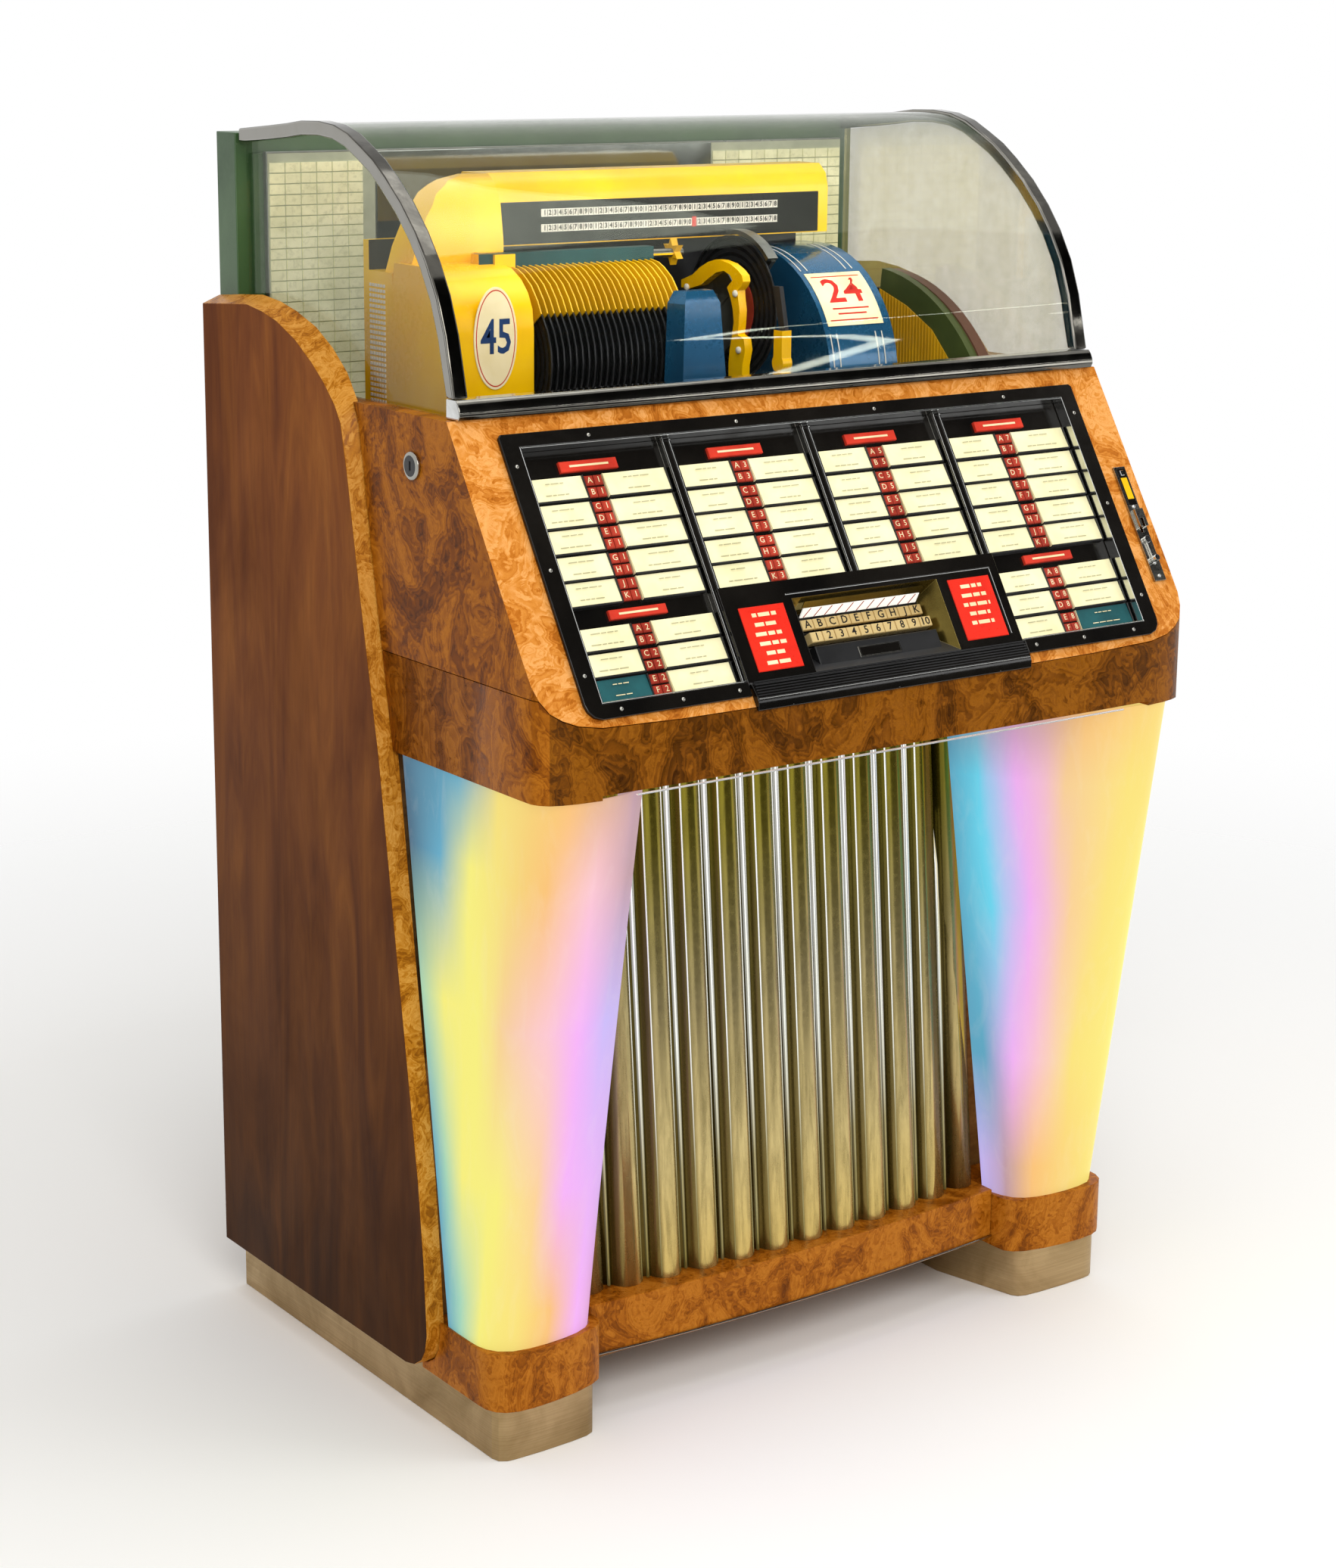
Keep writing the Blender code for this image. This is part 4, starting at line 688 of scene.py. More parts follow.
def studs_tree():
    """Round-headed studs standing on given points, along an axis."""
    grown = Grown("studs on points", {
        "Radius": ("Float", 2.0), "Height": ("Float", 1.0), "Turn": ("Vector", (0, 0, 0)),
        "Finish": ("Material", None)})
    given = grown.given
    foot = grown.node("MeshCylinder", Vertices=14, Side_Segments=1, Fill_Segments=1, Radius=given["Radius"],
                      Depth=given["Height"])
    cap = grown.node("MeshUVSphere", Segments=14, Rings=6, Radius=given["Radius"])
    half = grown.node("ShaderNodeMath", given["Height"], 0.5, operation="MULTIPLY")
    flat = grown.node("ShaderNodeCombineXYZ", 1.0, 1.0, 0.45)
    lift = grown.node("ShaderNodeCombineXYZ", 0.0, 0.0, half)
    domed = grown.node("Transform", Geometry=cap, Scale=flat, Translation=lift)
    both = grown.node("JoinGeometry", foot)
    grown.tree.links.new(domed, both.node.inputs[0])
    return grown.finish(grown.node("InstanceOnPoints", Points=given["Geometry"], Instance=both,
                                   Rotation=given["Turn"]))


ROWS = rows_tree()
STUDS = studs_tree()


def face_studs(name, spots, radius, height, rise, finish):
    """Studs square to the slanted front."""
    STUDS.run(name, "lid", finish, {"Radius": radius, "Height": height}, lambda u, v, w: on_slope(u, -v, w),
              [(x, -fall, rise + height / 2) for x, fall in spots], 50)


# Pieces with one finish all over
for names, finish, bevel, slot in (
        ("left_foot_cup right_foot_cup bottom_rail", BURL_SMALL, 1.6, "burl_veneer"),
        ("left_kick_foot right_kick_foot", STEEL, 1.0, "satin_metal"),
        ("cabinet_carcass", PLY, 0.6, "plywood"),
        ("rear_door", PLY, 0.8, "plywood"),
        ("rear_frame", GREEN, 1.0, "green_paint"),
        ("loudspeaker", SPEAKER, 0.0, "speaker_cone"),
        ("left_lamp right_lamp", LAMP, 0.0, "lamp_glass"),
        ("left_colour_cylinder right_colour_cylinder", FILM, 0.0, "colour_film"),
        ("left_side_glass", GLASS, 0.0, "clear_glass"),
        ("right_side_glass", SIDE_GLASS, 0.0, "clear_glass"),
        ("coin_plate", DULL_CHROME, 0.6, "chrome_trim"),
        ("reject_lever", CHROME, 0.5, "chrome_trim"),
        ("mirror_back", GREY_METAL, 0.6, "mirror_wall"),
        ("mechanism_bed", BLUE_DEEP, 0.8, "blue_paint")):
    for node in names.split():
        dressed(node, [finish], None, bevel)
dressed("record_stack", [VINYL], None, 0.0, 38)
dressed("transfer_arm", [GREY_METAL], None, 0.6, 38)

# Veneers with another figure on their edges; burl with painted light on the lid's slanted margin and burl with
# painted shade on the apron's front; rails with a darker face of shaded chrome, painted shade
for node in ("left_side_panel", "right_side_panel"):
    dressed(node, [WALNUT, BURL_GOLD], lambda spot, normal: abs(normal.x) <= 0.9, 0.8, 50)
dressed("lid_frame", [BURL, BURL_LIT_MARGIN], lambda spot, normal: facing(normal) > 0.97, 1.0)
dressed("apron", [BURL, BURL_SHADED_FRONT], lambda spot, normal: normal.y < -0.8, 0.0, 55)
for node in ("left_arch", "right_arch"):
    dressed(node, [ARCH_SIDE, ARCH_TOP], lambda spot, normal: abs(normal.x) < 0.5, 2.4)
dressed("dome_sill", [CHROME, DARK_CHROME], lambda spot, normal: normal.y < -0.6, 1.2)

# Columns: half outlines from the outer rear edge round the front, at the top and at the foot
COLUMN_TOP = [(460.5, 140), (461, 90), (461, 40), (461, -15), (461, -70), (460.5, -100), (457, -120), (446, -137),
              (428, -147), (403, -151), (375, -150.5), (347, -143), (322, -124), (298, -93), (272, -48), (250, -6),
              (237, 30)]
COLUMN_LOW = [(460, 52), (460.5, 40), (461, 27), (461, 14), (461, 0), (460.5, -12), (457.5, -24), (450, -36),
              (437, -44.5), (418, -48.5), (395, -49.5), (372, -48), (352, -44.5), (337, -38.5), (326.5, -30),
              (320, -17), (313, 12)]
COLUMN_FOOT, COLUMN_HIGH = 120.0, 664.0
COLUMN_SIDE = 461.0
COLUMN_THICK = 2.6


def column_line(share):
    """The column's outline at a share of its height."""
    return [(a[0] + (b[0] - a[0]) * share, a[1] + (b[1] - a[1]) * share) for a, b in zip(COLUMN_LOW, COLUMN_TOP)]


def mark_column(shape):
    """Stores on each point how far round and how far up the column it is."""
    across = shape.verts.layers.float.new("across")
    up = shape.verts.layers.float.new("up")
    for v in shape.verts:
        x, y, z = back_at(v.co)
        share = (z - COLUMN_FOOT) / COLUMN_HIGH
        line = column_line(share)
        best = (1e9, 0.0)
        for i, ((ax, ay), (bx, by)) in enumerate(zip(line, line[1:])):
            dx, dy = bx - ax, by - ay
            t = max(0.0, min(1.0, ((abs(x) - ax) * dx + (y - ay) * dy) / (dx * dx + dy * dy)))
            gap = math.hypot(abs(x) - ax - dx * t, y - ay - dy * t)
            best = min(best, (gap, (i + t) / (len(line) - 1)))
        v[across] = best[1]
        v[up] = share


def column(side, sign, finish):
    """Milky plastic shell, drawn finer than the CAD one and inside its skin."""
    build = Build(lambda u, v, w: at(sign * u, v, w))
    loops = []
    rings = 14
    foot, top = 120.3, 783.7
    for k in range(rings + 1):
        share = k / rings
        outer = [(min(x, COLUMN_SIDE), y) for x, y in smooth_line(column_line(share), 3)]
        inner = []
        for i, (x, y) in enumerate(outer):
            a, b = outer[max(i - 1, 0)], outer[min(i + 1, len(outer) - 1)]
            dx, dy = b[0] - a[0], b[1] - a[1]
            size = math.hypot(dx, dy)
            inner.append((x + dy / size * COLUMN_THICK, y - dx / size * COLUMN_THICK))
        loops.append([(x, y, foot + (top - foot) * share) for x, y in outer + inner[::-1]])
    build.loft(loops)
    mark_column(build.shape)
    node = side + "_pilaster"
    build.done(side + "_column_shell", body_of(node), [finish], 50, (node,), "rainbow_plastic")


column("left", -1, RAINBOW_LEFT)
column("right", 1, RAINBOW_RIGHT)

# Grille: the tubes keep their form; rods stand in the valleys between them and glow as painted highlights
TUBES = 12
TUBE_PITCH = 51.7
TUBE_RADIUS = 21.0


def mark_flank(shape):
    """Stores on each point how far it lies from its tube's crest."""
    flank = shape.verts.layers.float.new("flank")
    for v in shape.verts:
        off = (v.co.x * 1000 / TUBE_PITCH) % 1.0
        v[flank] = min(1.0, abs(off - 0.5) * TUBE_PITCH / TUBE_RADIUS)


def grille_front(x, z):
    """How far back the grille's crest lies at a place."""
    return -7 + 0.00025 * x * x + 58 * (z - 138.3) / 671.7


dressed("grille", [TUBE_GOLD], None, 0.0, 50, mark_flank)
rods = Build()
for k in range(TUBES + 1):
    x = (k - TUBES / 2) * TUBE_PITCH
    line = []
    for i in range(9):
        z = 139 + (809 - 139) * i / 8
        reach = 306 - 80.5 * (z - 138) / 692
        line.append((max(-reach, min(reach, x)), grille_front(x, z) + 13.5, z, 1.9 + 0.24 * i))
    rods.round(line, 10)
rods.done("grille_rods", "cabinet", [HIGHLIGHT_ROD], 60)

# Thin glowing lines on the tubes' flanks: painted highlights.
flank_highlights = Build()
for k in range(TUBES):
    centre = (k + 0.5 - TUBES / 2) * TUBE_PITCH
    for aside, thick in ((-13.5, 0.9), (13.5, 0.6)):
        if abs(centre + aside) <= 222:
            flank_highlights.round([(centre + aside, grille_front(centre, z) + 4.9, z, thick * swell)
                         for z, swell in ((141, 1.0), (400, 1.0), (808, 1.4))], 6)
flank_highlights.done("tube_flank_highlights", "cabinet", [HIGHLIGHT_ROD], 60)

outer_tubes = Build()
for side in (-1, 1):
    for row, foot in ((4.5, 560.0), (5.5, 139.5)):
        x = side * row * TUBE_PITCH
        outer_tubes.round([(x, grille_front(x, z) + TUBE_RADIUS, z, 20.6) for z in (foot, (foot + 806) / 2, 806.0)],
                          24)
mark_flank(outer_tubes.shape)
outer_tubes.done("outer_grille_tubes", "cabinet", [TUBE_GOLD], 60)

# Bright lines under the apron and along the rail; the line under the apron glows as a painted highlight
trim("apron_trim", "cabinet", [HIGHLIGHT_ROD], at, [(-353, 353, -160.6, -157, 784.4, 785.8, 0, 0.3)], 40)
rail_trim = Build()
rail_stops = [-308 + 616 * i / 32 for i in range(33)]
rail_trim.pipe([(x, -26.4 + 0.00016 * x * x, 76.5) for x in rail_stops], 1.4)
rail_trim.done("rail_trim", "cabinet", [DULL_CHROME], 40)

# The dome's curve in side view, back and up
DOME_LINE = [(34.5, 1187.5), (44, 1225), (51, 1253), (67, 1294), (88, 1329), (111, 1358), (140, 1387), (172, 1412),
             (197, 1429), (223, 1442), (251, 1455), (281, 1463), (315, 1466), (355, 1465), (388, 1461), (430, 1457),
             (465, 1454), (500, 1451)]


def dome_sheet():
    """Clear bent sheet between the arches, its outer face a little inside the rails' top."""
    low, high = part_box("dome_glass")
    line = smooth_line(DOME_LINE, 4)
    faces = {3.0: [], 6.5: []}
    for i, spot in enumerate(line):
        along = (line[min(i + 1, len(line) - 1)] - line[max(i - 1, 0)]).normalized()
        for deep, points in faces.items():
            points.append(spot + Vector((along[1], -along[0])) * deep)
    ring = faces[3.0] + faces[6.5][::-1]
    build = Build()
    build.loft([[(x, y, z) for y, z in ring] for x in (low[0] * 1000 + 0.3, high[0] * 1000 - 0.3)])
    build.done("dome_sheet", "lid", [GLASS], 30, ("dome_glass",), "clear_glass")


dome_sheet()


def lock_rule(spot, normal):
    """The lock's barrel is dark."""
    return math.dist(back_at(spot)[1:], (100, 1110)) < 11.8


def frame_rule(spot, normal):
    """The inner walls of the title frame are bright."""
    x, fall, rise = off_slope(spot)
    return abs(x) < 399 and 32 < fall < 339 and facing(normal) < 0.5


def rack_rule(spot, normal):
    """The mullions' flanks are bright."""
    return off_slope(spot)[2] > -11.5 and abs(facing(normal)) < 0.5


def bezel_rule(spot, normal):
    """Brass on the recess's upper wall and right cheek, satin on its other walls, gloss round it."""
    x, fall, rise = off_slope(spot)
    if not -24.7 < rise < 2.6:
        return 0
    if fall < 262 and abs(x) < 105.5 and normal.y * UP_Y + normal.z * UP_Z < -0.3:
        return 1
    if fall < 334 and abs(x) < 104.5:
        return 1 if x > 80 and normal.x < -0.3 else 2
    return 0


dressed("lid_lock", [DULL_CHROME, SATIN_BLACK], lock_rule, 0.5)
dressed("title_frame", [BLACK, CHROME], frame_rule, 0.9)
dressed("title_rack", [BLACK, DULL_CHROME], rack_rule, 0.4)
dressed("keyboard_bezel", [BLACK, BRASS, SATIN_BLACK], bezel_rule, 0.8)

# Bright beads round the title panels and on the mullions between them
beads = [(left, left + 1.5, 38.2, 332.3, 4.2, 5.6, 0, 0.4) for left in (-391.4, 389.9)]
beads.append((-389.2, 389.2, 38.2, 39.4, 4.2, 5.4, 0, 0.3))
beads += [(left, left + 190.2, 331.2, 332.2, 4.2, 5.2, 0, 0.3) for left in (-391, 200.8)]
for x, end in ((-196, 331), (0, 221), (196, 331)):
    beads += [(x + aside - half, x + aside + half, 39, end, -4.4, -2.4, 0, 0.3) for aside, half in
              ((-4.6, 0.6), (4.6, 1.1))]
trim("title_frame_beads", "lid", [CHROME], on_slope, beads, 40)

# Title strips: in every row a left and a right strip with two pairs of code cells between them
LETTERS = "ABCDEFGHJK"
ROW_TOPS = (71.2, 102.0, 131.8, 162.5, 192.3, 244.9, 274.0, 303.0)
UPPER_ROWS = 5
COLUMNS = ((-391, -202), (-190, -6), (6, 190), (202, 391))
RACK = -12.0
HEADER = RACK + 4.5
rng = random.Random(7)


def word_bars(build, left, length, top, foot, rise, finish, shortest, spread, gap, least):
    """Low bars in place of words, over a length from the left."""
    while length > least:
        word = min(length, shortest + rng.random() * spread)
        build.block(left, left + word, top, foot, rise, rise + PRINT, finish)
        left += word + gap
        length -= word + gap


def written(build, x0, x1, top, high, finish):
    """Two lines of faint bars, one near the top and one near the foot."""
    for share, least, most in ((0.24, 0.35, 0.6), (0.78, 0.35, 0.7)):
        length = (x1 - x0) * (least + (most - least) * rng.random())
        middle = top + high * share
        word_bars(build, (x0 + x1 - length) / 2, length, middle - 0.5, middle + 0.5, RACK + 3.9, finish,
                  4, 9, 1.6, 3)


strips, marks, bars, cells, holders, teal = [Build(on_slope) for _ in range(6)]
for number, (left, right) in enumerate(COLUMNS):
    wide = right - left
    a0, a1 = left + 4, left + 4 + wide * 0.375
    b0, b1 = a1 + 1.5, a1 + 1.5 + wide * 0.135
    c0, c1 = b1 + 2, right - 4
    outer = number in (0, 3)
    for shift, top, foot, line in ((0, 54, 66.4, 59), (2, 227.6, 238.4, 231.8))[:1 + outer]:
        bars.block(a1 - 24 + shift, c0 + 22 + shift, top, foot, RACK, HEADER, 0, 0.8)
        marks.block(a1 - 12 + shift, c0 + 10 + shift, line, line + 2.4, HEADER, HEADER + PRINT, 1)
    for row, top in enumerate(ROW_TOPS if outer else ROW_TOPS[:UPPER_ROWS]):
        high = 27.6 if row < UPPER_ROWS else 26.2
        foot = top + high
        for x0, x1, is_left in ((a0, a1, True), (c0, c1, False)):
            card = outer and row == 7 and is_left == (number == 0)
            corners = ((x0, top), (x1, top), (x1, foot), (x0, foot))
            (teal if card else strips).loft([[(u, v, RACK) for u, v in corners],
                                             [(u, v, RACK + (3.8 if v == foot else 2.2)) for u, v in corners]])
            holders.block(x0 - 0.8, x1 + 0.8, foot - 0.9, foot + 1.1, RACK, RACK + 5.0, 0, 0.5)
            holders.block(x1 + 0.2, x1 + 1.8, top, foot, RACK, RACK + 4.6, 0, 0.4)
            margin, ink = (6, 1) if card else (4, 2)
            written(marks, x0 + margin, x1 - margin, top + 1, high - 3, ink)
        for k in range(2):
            cell_top = top + k * high / 2
            code = (LETTERS[(row * 2 + k) % 10], str(number * 2 + 1 + (row >= UPPER_ROWS)))
            for share, sign in zip((0.27, 0.73), code):
                middle = b0 + (b1 - b0) * share
                cells.block(middle - 5.4, middle + 5.4, cell_top + 1.3, cell_top + high / 2 - 0.9, RACK, RACK + 4,
                            0, 1.2)
                marks.words(sign, 9.6, (middle, cell_top + high / 4 + 0.2), RACK + 4.05, 1)
        for edge in (b0 - 1.1, b1 + 0.5):
            marks.block(edge, edge + 0.6, top, foot, RACK, RACK + 3.4, 1)
strips.done("title_strips", "lid", [CREAM], slot="card")
marks.done("title_strip_marks", "lid", [INK, CREAM_LABEL, FAINT_INK])
bars.done("title_header_bars", "lid", [RED_BAR])
cells.done("title_code_cells", "lid", [RED_CELL])
holders.done("title_strip_holders", "lid", [SATIN_BLACK])
teal.done("teal_cards", "lid", [TEAL_CARD])
frame_screws = [(side * 402, fall) for side in (-1, 1) for fall in (60, 180, 300)]
frame_screws += [(x, 31) for x in (-300, -100, 100, 300)]
frame_screws += [(side * x, 341) for side in (-1, 1) for x in (215, 290, 370)]
face_studs("title_frame_screws", frame_screws, 2.3, 0.5, 5.0, DULL_CHROME)

# Keys with their signs: a row of letters above a row of figures
for signs, fall, rise in ((LETTERS, 271.5, -17.0), ([str(k) for k in range(1, 11)], 289.7, -8.0)):
    for index, sign in enumerate(signs):
        node = "key_" + sign.lower()
        dressed(node, [KEY_TAN], None, 0.7)
        cap = Build(on_slope)
        cap.words(sign, 12.8, ((index - 4.5) * 17.55, fall), rise + 0.05, thick=0.16,
                  wide=11.0 if sign == "10" else None, bold=0.2)
        cap.done("mark_" + sign.lower(), body_of(node), [INK])

# Round the keyboard: red cards with bars in place of words, beads, lit window, plate and ledge
CARD_TOP = 4.4
trim("instruction_cards", "lid", [RED_CARD], on_slope,
     [(left, left + 62, 249, 324, 3.0, CARD_TOP, 0, 0.6) for left in (-181, 119)])
greeked = Build(on_slope)
for middle, count in ((-150, 6), (150, 5)):
    for row in range(count):
        length = 40 - 14 * rng.random()
        top = 257 + row * 11.2
        word_bars(greeked, middle - length / 2, length, top, top + 4.4, CARD_TOP, 0, 6, 12, 2.4, 2)
greeked.done("instruction_bars", "lid", [CREAM_LABEL])
trim("keyboard_beads", "lid", [CHROME], on_slope, [
    (-112, 187, 239.0, 240.4, 3.0, 4.0, 0, 0.3), (185.8, 187.0, 241, 322, 3.0, 4.0, 0, 0.3),
    (-196, 196, 354.0, 355.2, 8.0, 9.0, 0, 0.3)])


def recess(deep, lift=0.0):
    """Fall and rise of a place on the recess's upper wall: a share of its depth, lifted off it."""
    return 249.0 + 11.6 * deep + 0.87 * lift, -0.6 - 20.6 * deep + 0.49 * lift


def slat(build, ends, fall, rise, finish):
    """Strip between two ends (left, right, fall, rise), as thick as a step in fall and rise."""
    build.loft([[(x0, f, r), (x1, f, r), (x1, f + fall, r + rise), (x0, f + fall, r + rise)]
                for x0, x1, f, r in ends], finish)


window = Build(on_slope)
for half, high, low, lift, finish in ((84, 0.44, 1.0, 1.4, 0), (86, 0.02, 0.42, 1.0, 1)):
    slat(window, [(-half, half, *recess(deep)) for deep in (high, low)], 0.87 * lift, 0.49 * lift, finish)
for k in range(11):
    x = -80 + k * 15.2
    slat(window, [(x + 6, x + 7.2, *recess(0.46, 1.4)), (x, x + 1.2, *recess(0.98, 1.4))], 0.3, 0.2, 2)
window.done("slanted_window", "lid", [LIT_WHITE, BRASS, LABEL])
trim("credit_plate", "lid", [SATIN_BLACK, BLACK, DULL_CHROME], on_slope, [
    (-88, 88, 301, 331, -20.0, -6.0, 0, 1.0), (-31, 29, 308.6, 321.4, -6.0, -5.2, 2, 0.3),
    (-29, 27, 310, 320, -5.2, -5.0, 1, 0.1)])
ROWS.run("ledge_ribs", "lid", SATIN_BLACK, {
    "Across": 7, "Step across": (0.0, 3.1, 0.0), "Start": (0.0, 335.5, 7.2), "Size": (392.0, 1.4, 3.2)}, on_slope)
face_studs("ledge_screws", [(x, 363) for x in (-150, 0, 150)], 2.2, 0.7, 2.6, DULL_CHROME)
trim("coin_card", "lid", [BLACK, YELLOW, CHROME], on_slope, [
    (436.5, 450, 137.5, 186, 3.3, 4.3, 0, 0.4), (438.4, 448, 150, 178, 4.3, 4.8, 1, 0.2),
    (440.5, 446, 140.5, 147, 4.3, 5.6, 2, 0.4)])
face_studs("coin_plate_screws", [(443.2, fall) for fall in (188, 262, 279)], 2.2, 0.8, 3.3, CHROME)

# Mirror wall behind the changer; its tiles glow faintly as painted light
TILE_WIDE, TILE_HIGH = 21.0, 12.5
WALL_LOW, WALL_HIGH = 1110, 1422
WALL_FACE, WALL_BACK = 485.2, 485.9
TILE_FOOT = WALL_LOW + 2
for name, left, right, seed in (("left_mirror_tiles", -426, -284, 3), ("right_mirror_tiles", 216, 426, 9)):
    ROWS.run(name, "cabinet", TILE, {
        "Across": int((right - left) / TILE_WIDE), "Step across": (TILE_WIDE, 0.0, 0.0),
        "Rows": int((WALL_HIGH - 2 - TILE_FOOT) / TILE_HIGH), "Step of rows": (0.0, 0.0, TILE_HIGH),
        "Start": (left + TILE_WIDE / 2, 484.6, TILE_FOOT + TILE_HIGH / 2),
        "Size": (TILE_WIDE - 1.6, 2.4, TILE_HIGH - 1.4), "Tilt": 0.022, "Seed": seed}, at, slot="mirror_wall")
trim("tile_backing", "cabinet", [GROUT], at, [
    (left, right, WALL_FACE, WALL_BACK, WALL_LOW, WALL_HIGH) for left, right in ((-427, -283), (215, 427))])
trim("mirror_closing_strips", "cabinet", [GREEN], at, [
    (left, left + 14, 494.4, 502.6, WALL_LOW, WALL_HIGH) for left in (-440, 426)])
trim("smoked_centre_mirror", "cabinet", [MIRROR], at, [(-281, 213, 483.6, WALL_BACK, WALL_LOW, WALL_HIGH, 0, 0.6)])

# Changer; the record in play turns about a line that runs across through this place
PLAY_Y, PLAY_Z = 262, 1237


def magazine_rule(spot, normal):
    """Rim, end plate, comb, top strip, black rear and underside, pointer's post, black end panel."""
    x, y, z = back_at(spot)
    if x > 382:
        return 3 if x > 394 else 2
    if -262 < x < -57 and y < 345 and 1200 < z < 1302.5:
        return 1
    if -300 < x < -57 and 229 < y < 247 and z > 1302:
        return 4
    if y > 351 and z < 1330 and x > -330 or -262 < x < -57 and z < 1200:
        return 5
    if -58 < x < 3 and 1290 < z < 1330 and y < 280:
        return 1 if -14 < x < -3 else 6
    if x < -329.5 and 309 < y < 357 and z < 1297 and normal.x < -0.5:
        return 5
    return 0


def carriage_rule(spot, normal):
    """Yellow clamp, grey bearing, black post and base; the rest is blue."""
    x, y, z = back_at(spot)
    if 35 < x < 47.5 and y < 304 and z > 1131 and not (x > 39.5 and y > 241 and z < 1258):
        return 1
    if 39 < x < 50.5 and y > 240 and z > 1131:
        return 2
    if 60 < x < 82 and y < 161 or z < 1131 and x < 149:
        return 3
    return 0


def mark_turntable(shape):
    """Vinyl for the record, metal for the flywheel, yellow for the hub behind the record."""
    for face in shape.faces:
        spots = [back_at(v.co) for v in face.verts]
        radius = max(math.hypot(y - PLAY_Y, z - PLAY_Z) for _, y, z in spots)
        low, high = min(spot[0] for spot in spots), max(spot[0] for spot in spots)
        if low > 81.5 and high < 84.5 and radius > 25:
            face.material_index = 0
        elif low > 50 and high < 63 and radius > 25:
            face.material_index = 1
        elif low > 61 and high < 83:
            face.material_index = 2
        else:
            face.material_index = 3


dressed("record_magazine", [YELLOW, YELLOW_DEEP, OLIVE, BROWN, TEAL, SATIN_BLACK, GREY_METAL], magazine_rule, 0.5,
        38)
dressed("carriage", [BLUE, YELLOW, GREY_METAL, SATIN_BLACK], carriage_rule, 1.6, 38)
dressed("turntable", [VINYL_PLAY, GREY_METAL, YELLOW, DULL_CHROME], None, 0.0, 38, mark_turntable)
dressed("tonearm", [YELLOW, SATIN_BLACK], lambda spot, normal: back_at(spot)[2] > 1216, 0.5, 38)
play = Build(lambda u, v, w: at(w, PLAY_Y + u, PLAY_Z + v))
play.round([(0, 0, along, radius) for along, radius in ((81.2, 19.3), (81.2, 44), (81.95, 44), (81.95, 19.3))], 40)
play.done("played_record_label", "playing_disc", [LABEL], 40)

# Indicator hood: dark window, two number scales and the pointer
SCALE_FACE = 288.0
trim("indicator_window", "cabinet", [BLACK, WHITE_INK], at, [
    (-239, 234, 288.6, 290.4, 1322.5, 1371, 0, 0.6), (-177, 170, SCALE_FACE, 288.8, 1353.2, 1362.2, 1),
    (-177, 170, SCALE_FACE, 288.8, 1335.6, 1344.6, 1)])
figures = Build(lambda u, v, w: at(u, SCALE_FACE - w, -v))
for z in (1357.7, 1340.1):
    for k in range(48):
        x = -172 + k * 7.2
        figures.block(x + 3.2, x + 4.0, -z - 3.6, -z + 3.6, 0.0, PRINT)
        figures.words(str((k + 1) % 10), 8.0, (x, -z), 0.1, thick=0.1, bold=0.3)
figures.done("indicator_figures", "cabinet", [INK])
trim("indicator_pointer", "cabinet", [RED_INK], at, [(40, 46, 287.2, 288.1, 1334.5, 1346.5, 0, 0.3)])

# Oval label on the end housing
oval = Build(lambda u, v, w: at(-319.5 + u, 166.0 - w, 1232 - v))
for wide, high, low, top, finish, ease in (
        (28.5, 57, 0.0, 1.1, 0, 0.3), (26.0, 54, 1.1, 1.18, 1, 0.0), (24.8, 52.6, 1.18, 1.26, 0, 0.0)):
    oval.slab([(wide * u, high * v) for u, v in circle(0, 0, 1, 48)], low, top, finish, ease)
oval.words("45", 54, (0, 0), 1.33, 2, wide=40, bold=0.8)
oval.done("speed_label", "cabinet", [CREAM_LABEL, RED_INK, BLUE_INK])

# Card and white lines on the round cover; places round it are angles from its top
COVER = 155


def on_cover(u, v, w):
    """Point on the cover: across, angle forward from the top, out of it."""
    return at(u, 308 - (COVER + w) * math.sin(v), 1151 + (COVER + w) * math.cos(v))


digits = Build(lambda u, v, w: on_cover(u, v / COVER, w))
digits.words("24", 50, (200, 0.82 * COVER), 0.76, wide=56, bold=0.7)
digits.done("cover_digits", "carriage_body", [RED_INK])
card = Build(on_cover)
card.bent(157, 243, 0.62, 1.12, 0.1, 0.7)
for inset, start, end in ((0, 0.66, 0.67), (0, 1.07, 1.08), (9, 0.97, 0.983), (15, 1.015, 1.028)):
    card.bent(163 + inset, 237 - inset, start, end, 0.7, 0.7 + PRINT, 1, 2)
card.done("cover_card", "carriage_body", [CREAM_LABEL, RED_INK])
lines = Build(on_cover)
for x in (156, 166, 226, 236):
    for start, end, steps in ((0.05, 0.58, 10), (1.18, 1.5, 6)):
        lines.bent(x, x + 1.4, start, end, 0.0, 0.35, 0, steps)
lines.done("cover_lines", "carriage_body", [WHITE_INK])

# Ribbed yellow sheet inside the end plate, back and up; its ribs end at its sloping top edge
ribbed = Build(lambda u, v, w: at(383.6 - w, u, v))
ribbed.slab([(206, 1113), (206, 1162), (240, 1196), (290, 1222), (345, 1240), (345, 1113)], 0.0, 0.8)
for k in range(23):
    y = 209 + k * 6
    start, top, slope = (206, 1162, 1.0) if y < 240 else (240, 1196, 0.52) if y < 290 else (290, 1222, 0.327)
    ribbed.block(y - 1.1, y + 1.1, 1113, top + (y - start) * slope, 0.8, 2.2, 0, 0.4)
ribbed.done("ribbed_yellow_sheet", "cabinet", [YELLOW_DEEP])

# Perforated screen at the beam's end, and white screws on the clamp
ROWS.run("screen_dots", "cabinet", WHITE_INK, {
    "Across": 6, "Step across": (0.0, 6.0, 0.0), "Rows": 26, "Step of rows": (0.0, 0.0, 6.0),
    "Start": (-371.6, 318.0, 1130.0), "Size": (1.2, 3.4, 3.4)}, at)
STUDS.run("clamp_screws", "carriage_body", WHITE_INK, {
    "Radius": 4.2, "Height": 2.0, "Turn": (0.0, -math.pi / 2, 0.0)}, at,
    [(35.6, 194, 1262), (35.6, 291, 1262), (35.6, 186, 1196)], 50)


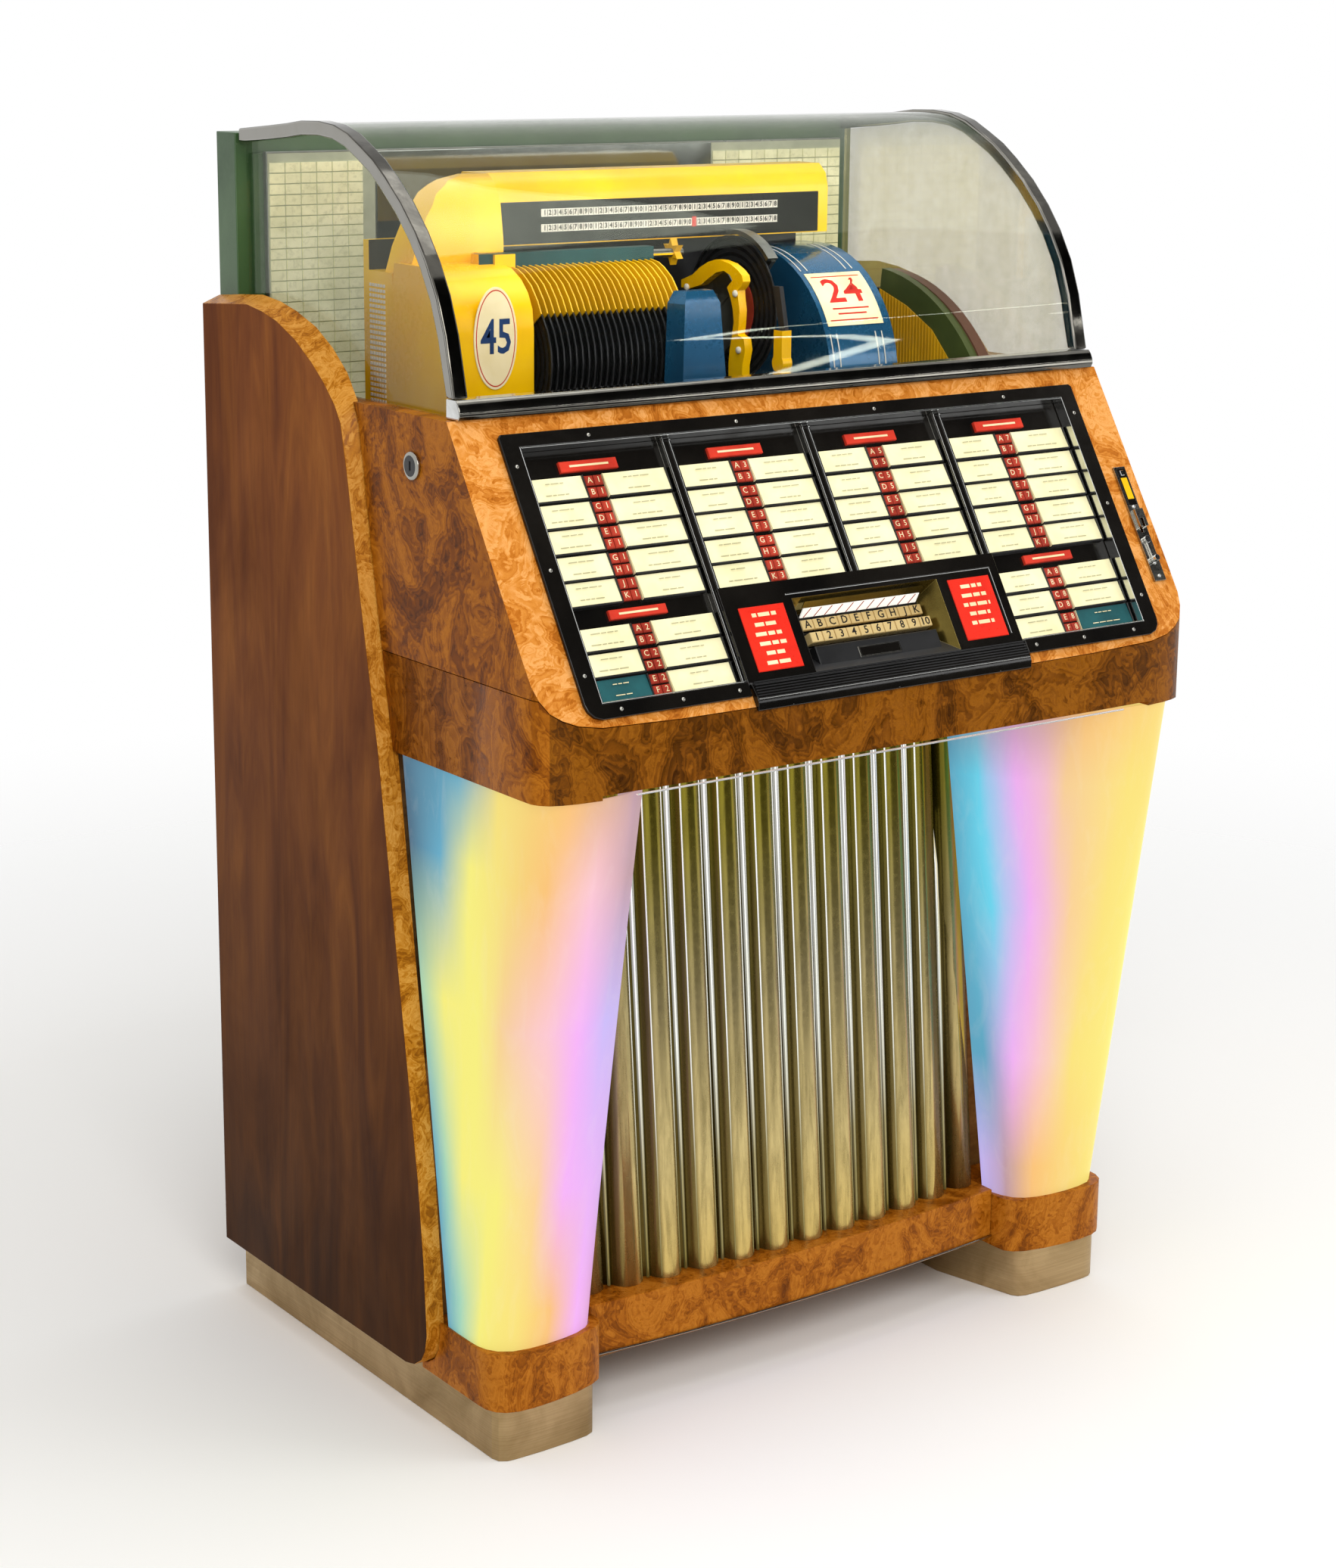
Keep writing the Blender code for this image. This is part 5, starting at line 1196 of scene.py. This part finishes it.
# Floor, light and camera
def sheet(name, wide, high, finish):
    """Flat rectangle about its own middle."""
    u, v = wide / 2, high / 2
    mesh = bpy.data.meshes.new(name)
    mesh.from_pydata([(-u, -v, 0), (u, -v, 0), (u, v, 0), (-u, v, 0)], [], [(0, 1, 2, 3)])
    mesh.materials.append(finish)
    return put(name, mesh)


pale = Finish("pale floor", Roughness=0.9)
away = pale.node("VectorMath", pale.coords, operation="LENGTH").outputs["Value"]
fade = pale.work("POWER", pale.span(away, 1.3, 3.2, 1.0, 0.0), 1.5)
floor = sheet("floor", 60, 60, pale.done("fbfbfa", Alpha=fade))

# The camera and mirrors see a white room, everything else gets a softer light from it
world = bpy.data.worlds.new("studio")
scene.world = world
world.use_nodes = True
tree = world.node_tree
tree.nodes.clear()
rays = add_node(tree, "ShaderNodeLightPath").outputs
seen = add_node(tree, "ShaderNodeBackground", (1, 1, 1, 1), 1.0).outputs[0]
soft = add_node(tree, "ShaderNodeBackground", (1.0, 0.99, 0.97, 1), 0.62).outputs[0]
either = rays["Is Camera Ray"]
for kind in ("Is Glossy Ray", "Is Transmission Ray"):
    either = add_node(tree, "ShaderNodeMath", either, rays[kind], operation="MAXIMUM").outputs[0]
chosen = add_node(tree, "ShaderNodeMixShader", either, soft, seen).outputs[0]
add_node(tree, "ShaderNodeOutputWorld", chosen)


def area_lamp(name, spot, aim, wide, high, power, tone=(1, 1, 1)):
    data = bpy.data.lights.new(name, "AREA")
    data.shape = "RECTANGLE"
    data.size = wide
    data.size_y = high
    data.energy = power
    data.color = tone
    lamp = put(name, data)
    lamp.location = spot
    lamp.rotation_euler = (Vector(aim) - Vector(spot)).to_track_quat("-Z", "Y").to_euler()
    return lamp


def dark_card(name, spot, aim, wide, high):
    """Card that only reflections see, so polished metal has something dark to show."""
    made = sheet(name, wide, high, Finish(name, Roughness=1.0).done("101010"))
    turn = (Vector(aim) - Vector(spot)).to_track_quat("Z", "Y").to_matrix().to_4x4()
    made.matrix_world = Matrix.Translation(Vector(spot)) @ turn
    for ray in ("camera", "diffuse", "shadow", "transmission", "volume_scatter"):
        setattr(made, "visible_" + ray, False)


area_lamp("key", (-1.9, -3.4, 3.0), (0, -0.1, 0.8), 2.0, 1.6, 70, (1, 0.98, 0.95))
area_lamp("fill", (2.6, -2.6, 2.0), (0, 0, 0.7), 1.8, 1.8, 26)
area_lamp("top", (0.2, -0.4, 3.6), (0, 0, 1.2), 2.4, 1.8, 34)
changer_lamp = area_lamp("changer lamp", (0.0, -0.10, 1.395), (0, 0.16, 1.2), 0.7, 0.05, 0.9, (1, 0.95, 0.82))
changer_lamp.visible_glossy = False
changer_lamp.visible_camera = False
area_lamp("strip", (1.5, -2.05, 1.86), (0, -0.15, 1.2), 1.5, 0.012, 0.8)
dark_card("low_card", (1.1, -2.5, 0.55), (0, 0, 1.1), 2.6, 1.5)
dark_card("high_card", (1.7, -2.0, 2.7), (0, -0.2, 1.1), 2.2, 2.0)
dark_card("left_card", (-3.4, 0.6, 1.2), (0, 0, 0.9), 1.0, 2.4)

view = bpy.data.cameras.new("view")
view.sensor_fit = "HORIZONTAL"
view.sensor_width = 36.0
view.lens = 81.46786
view.shift_x = 0.01067388
view.shift_y = -0.05939241
view.clip_start = 0.05
view.clip_end = 200
YAW, PITCH, ROLL = 0.624581552, 0.229471281, 0.00847203
ahead = Vector((math.sin(YAW) * math.cos(PITCH), math.cos(YAW) * math.cos(PITCH), -math.sin(PITCH)))
level = Vector((math.cos(YAW), -math.sin(YAW), 0))
above = level.cross(ahead)
right = level * math.cos(ROLL) + above * math.sin(ROLL)
upward = above * math.cos(ROLL) - level * math.sin(ROLL)
camera = put("view", view)
camera.matrix_world = Matrix.Translation((-2.13825924, -2.85581444, 1.60074805)) @ Matrix(
    (right, upward, -ahead)).transposed().to_4x4()
scene.camera = camera
scene.view_settings.view_transform = "Standard"
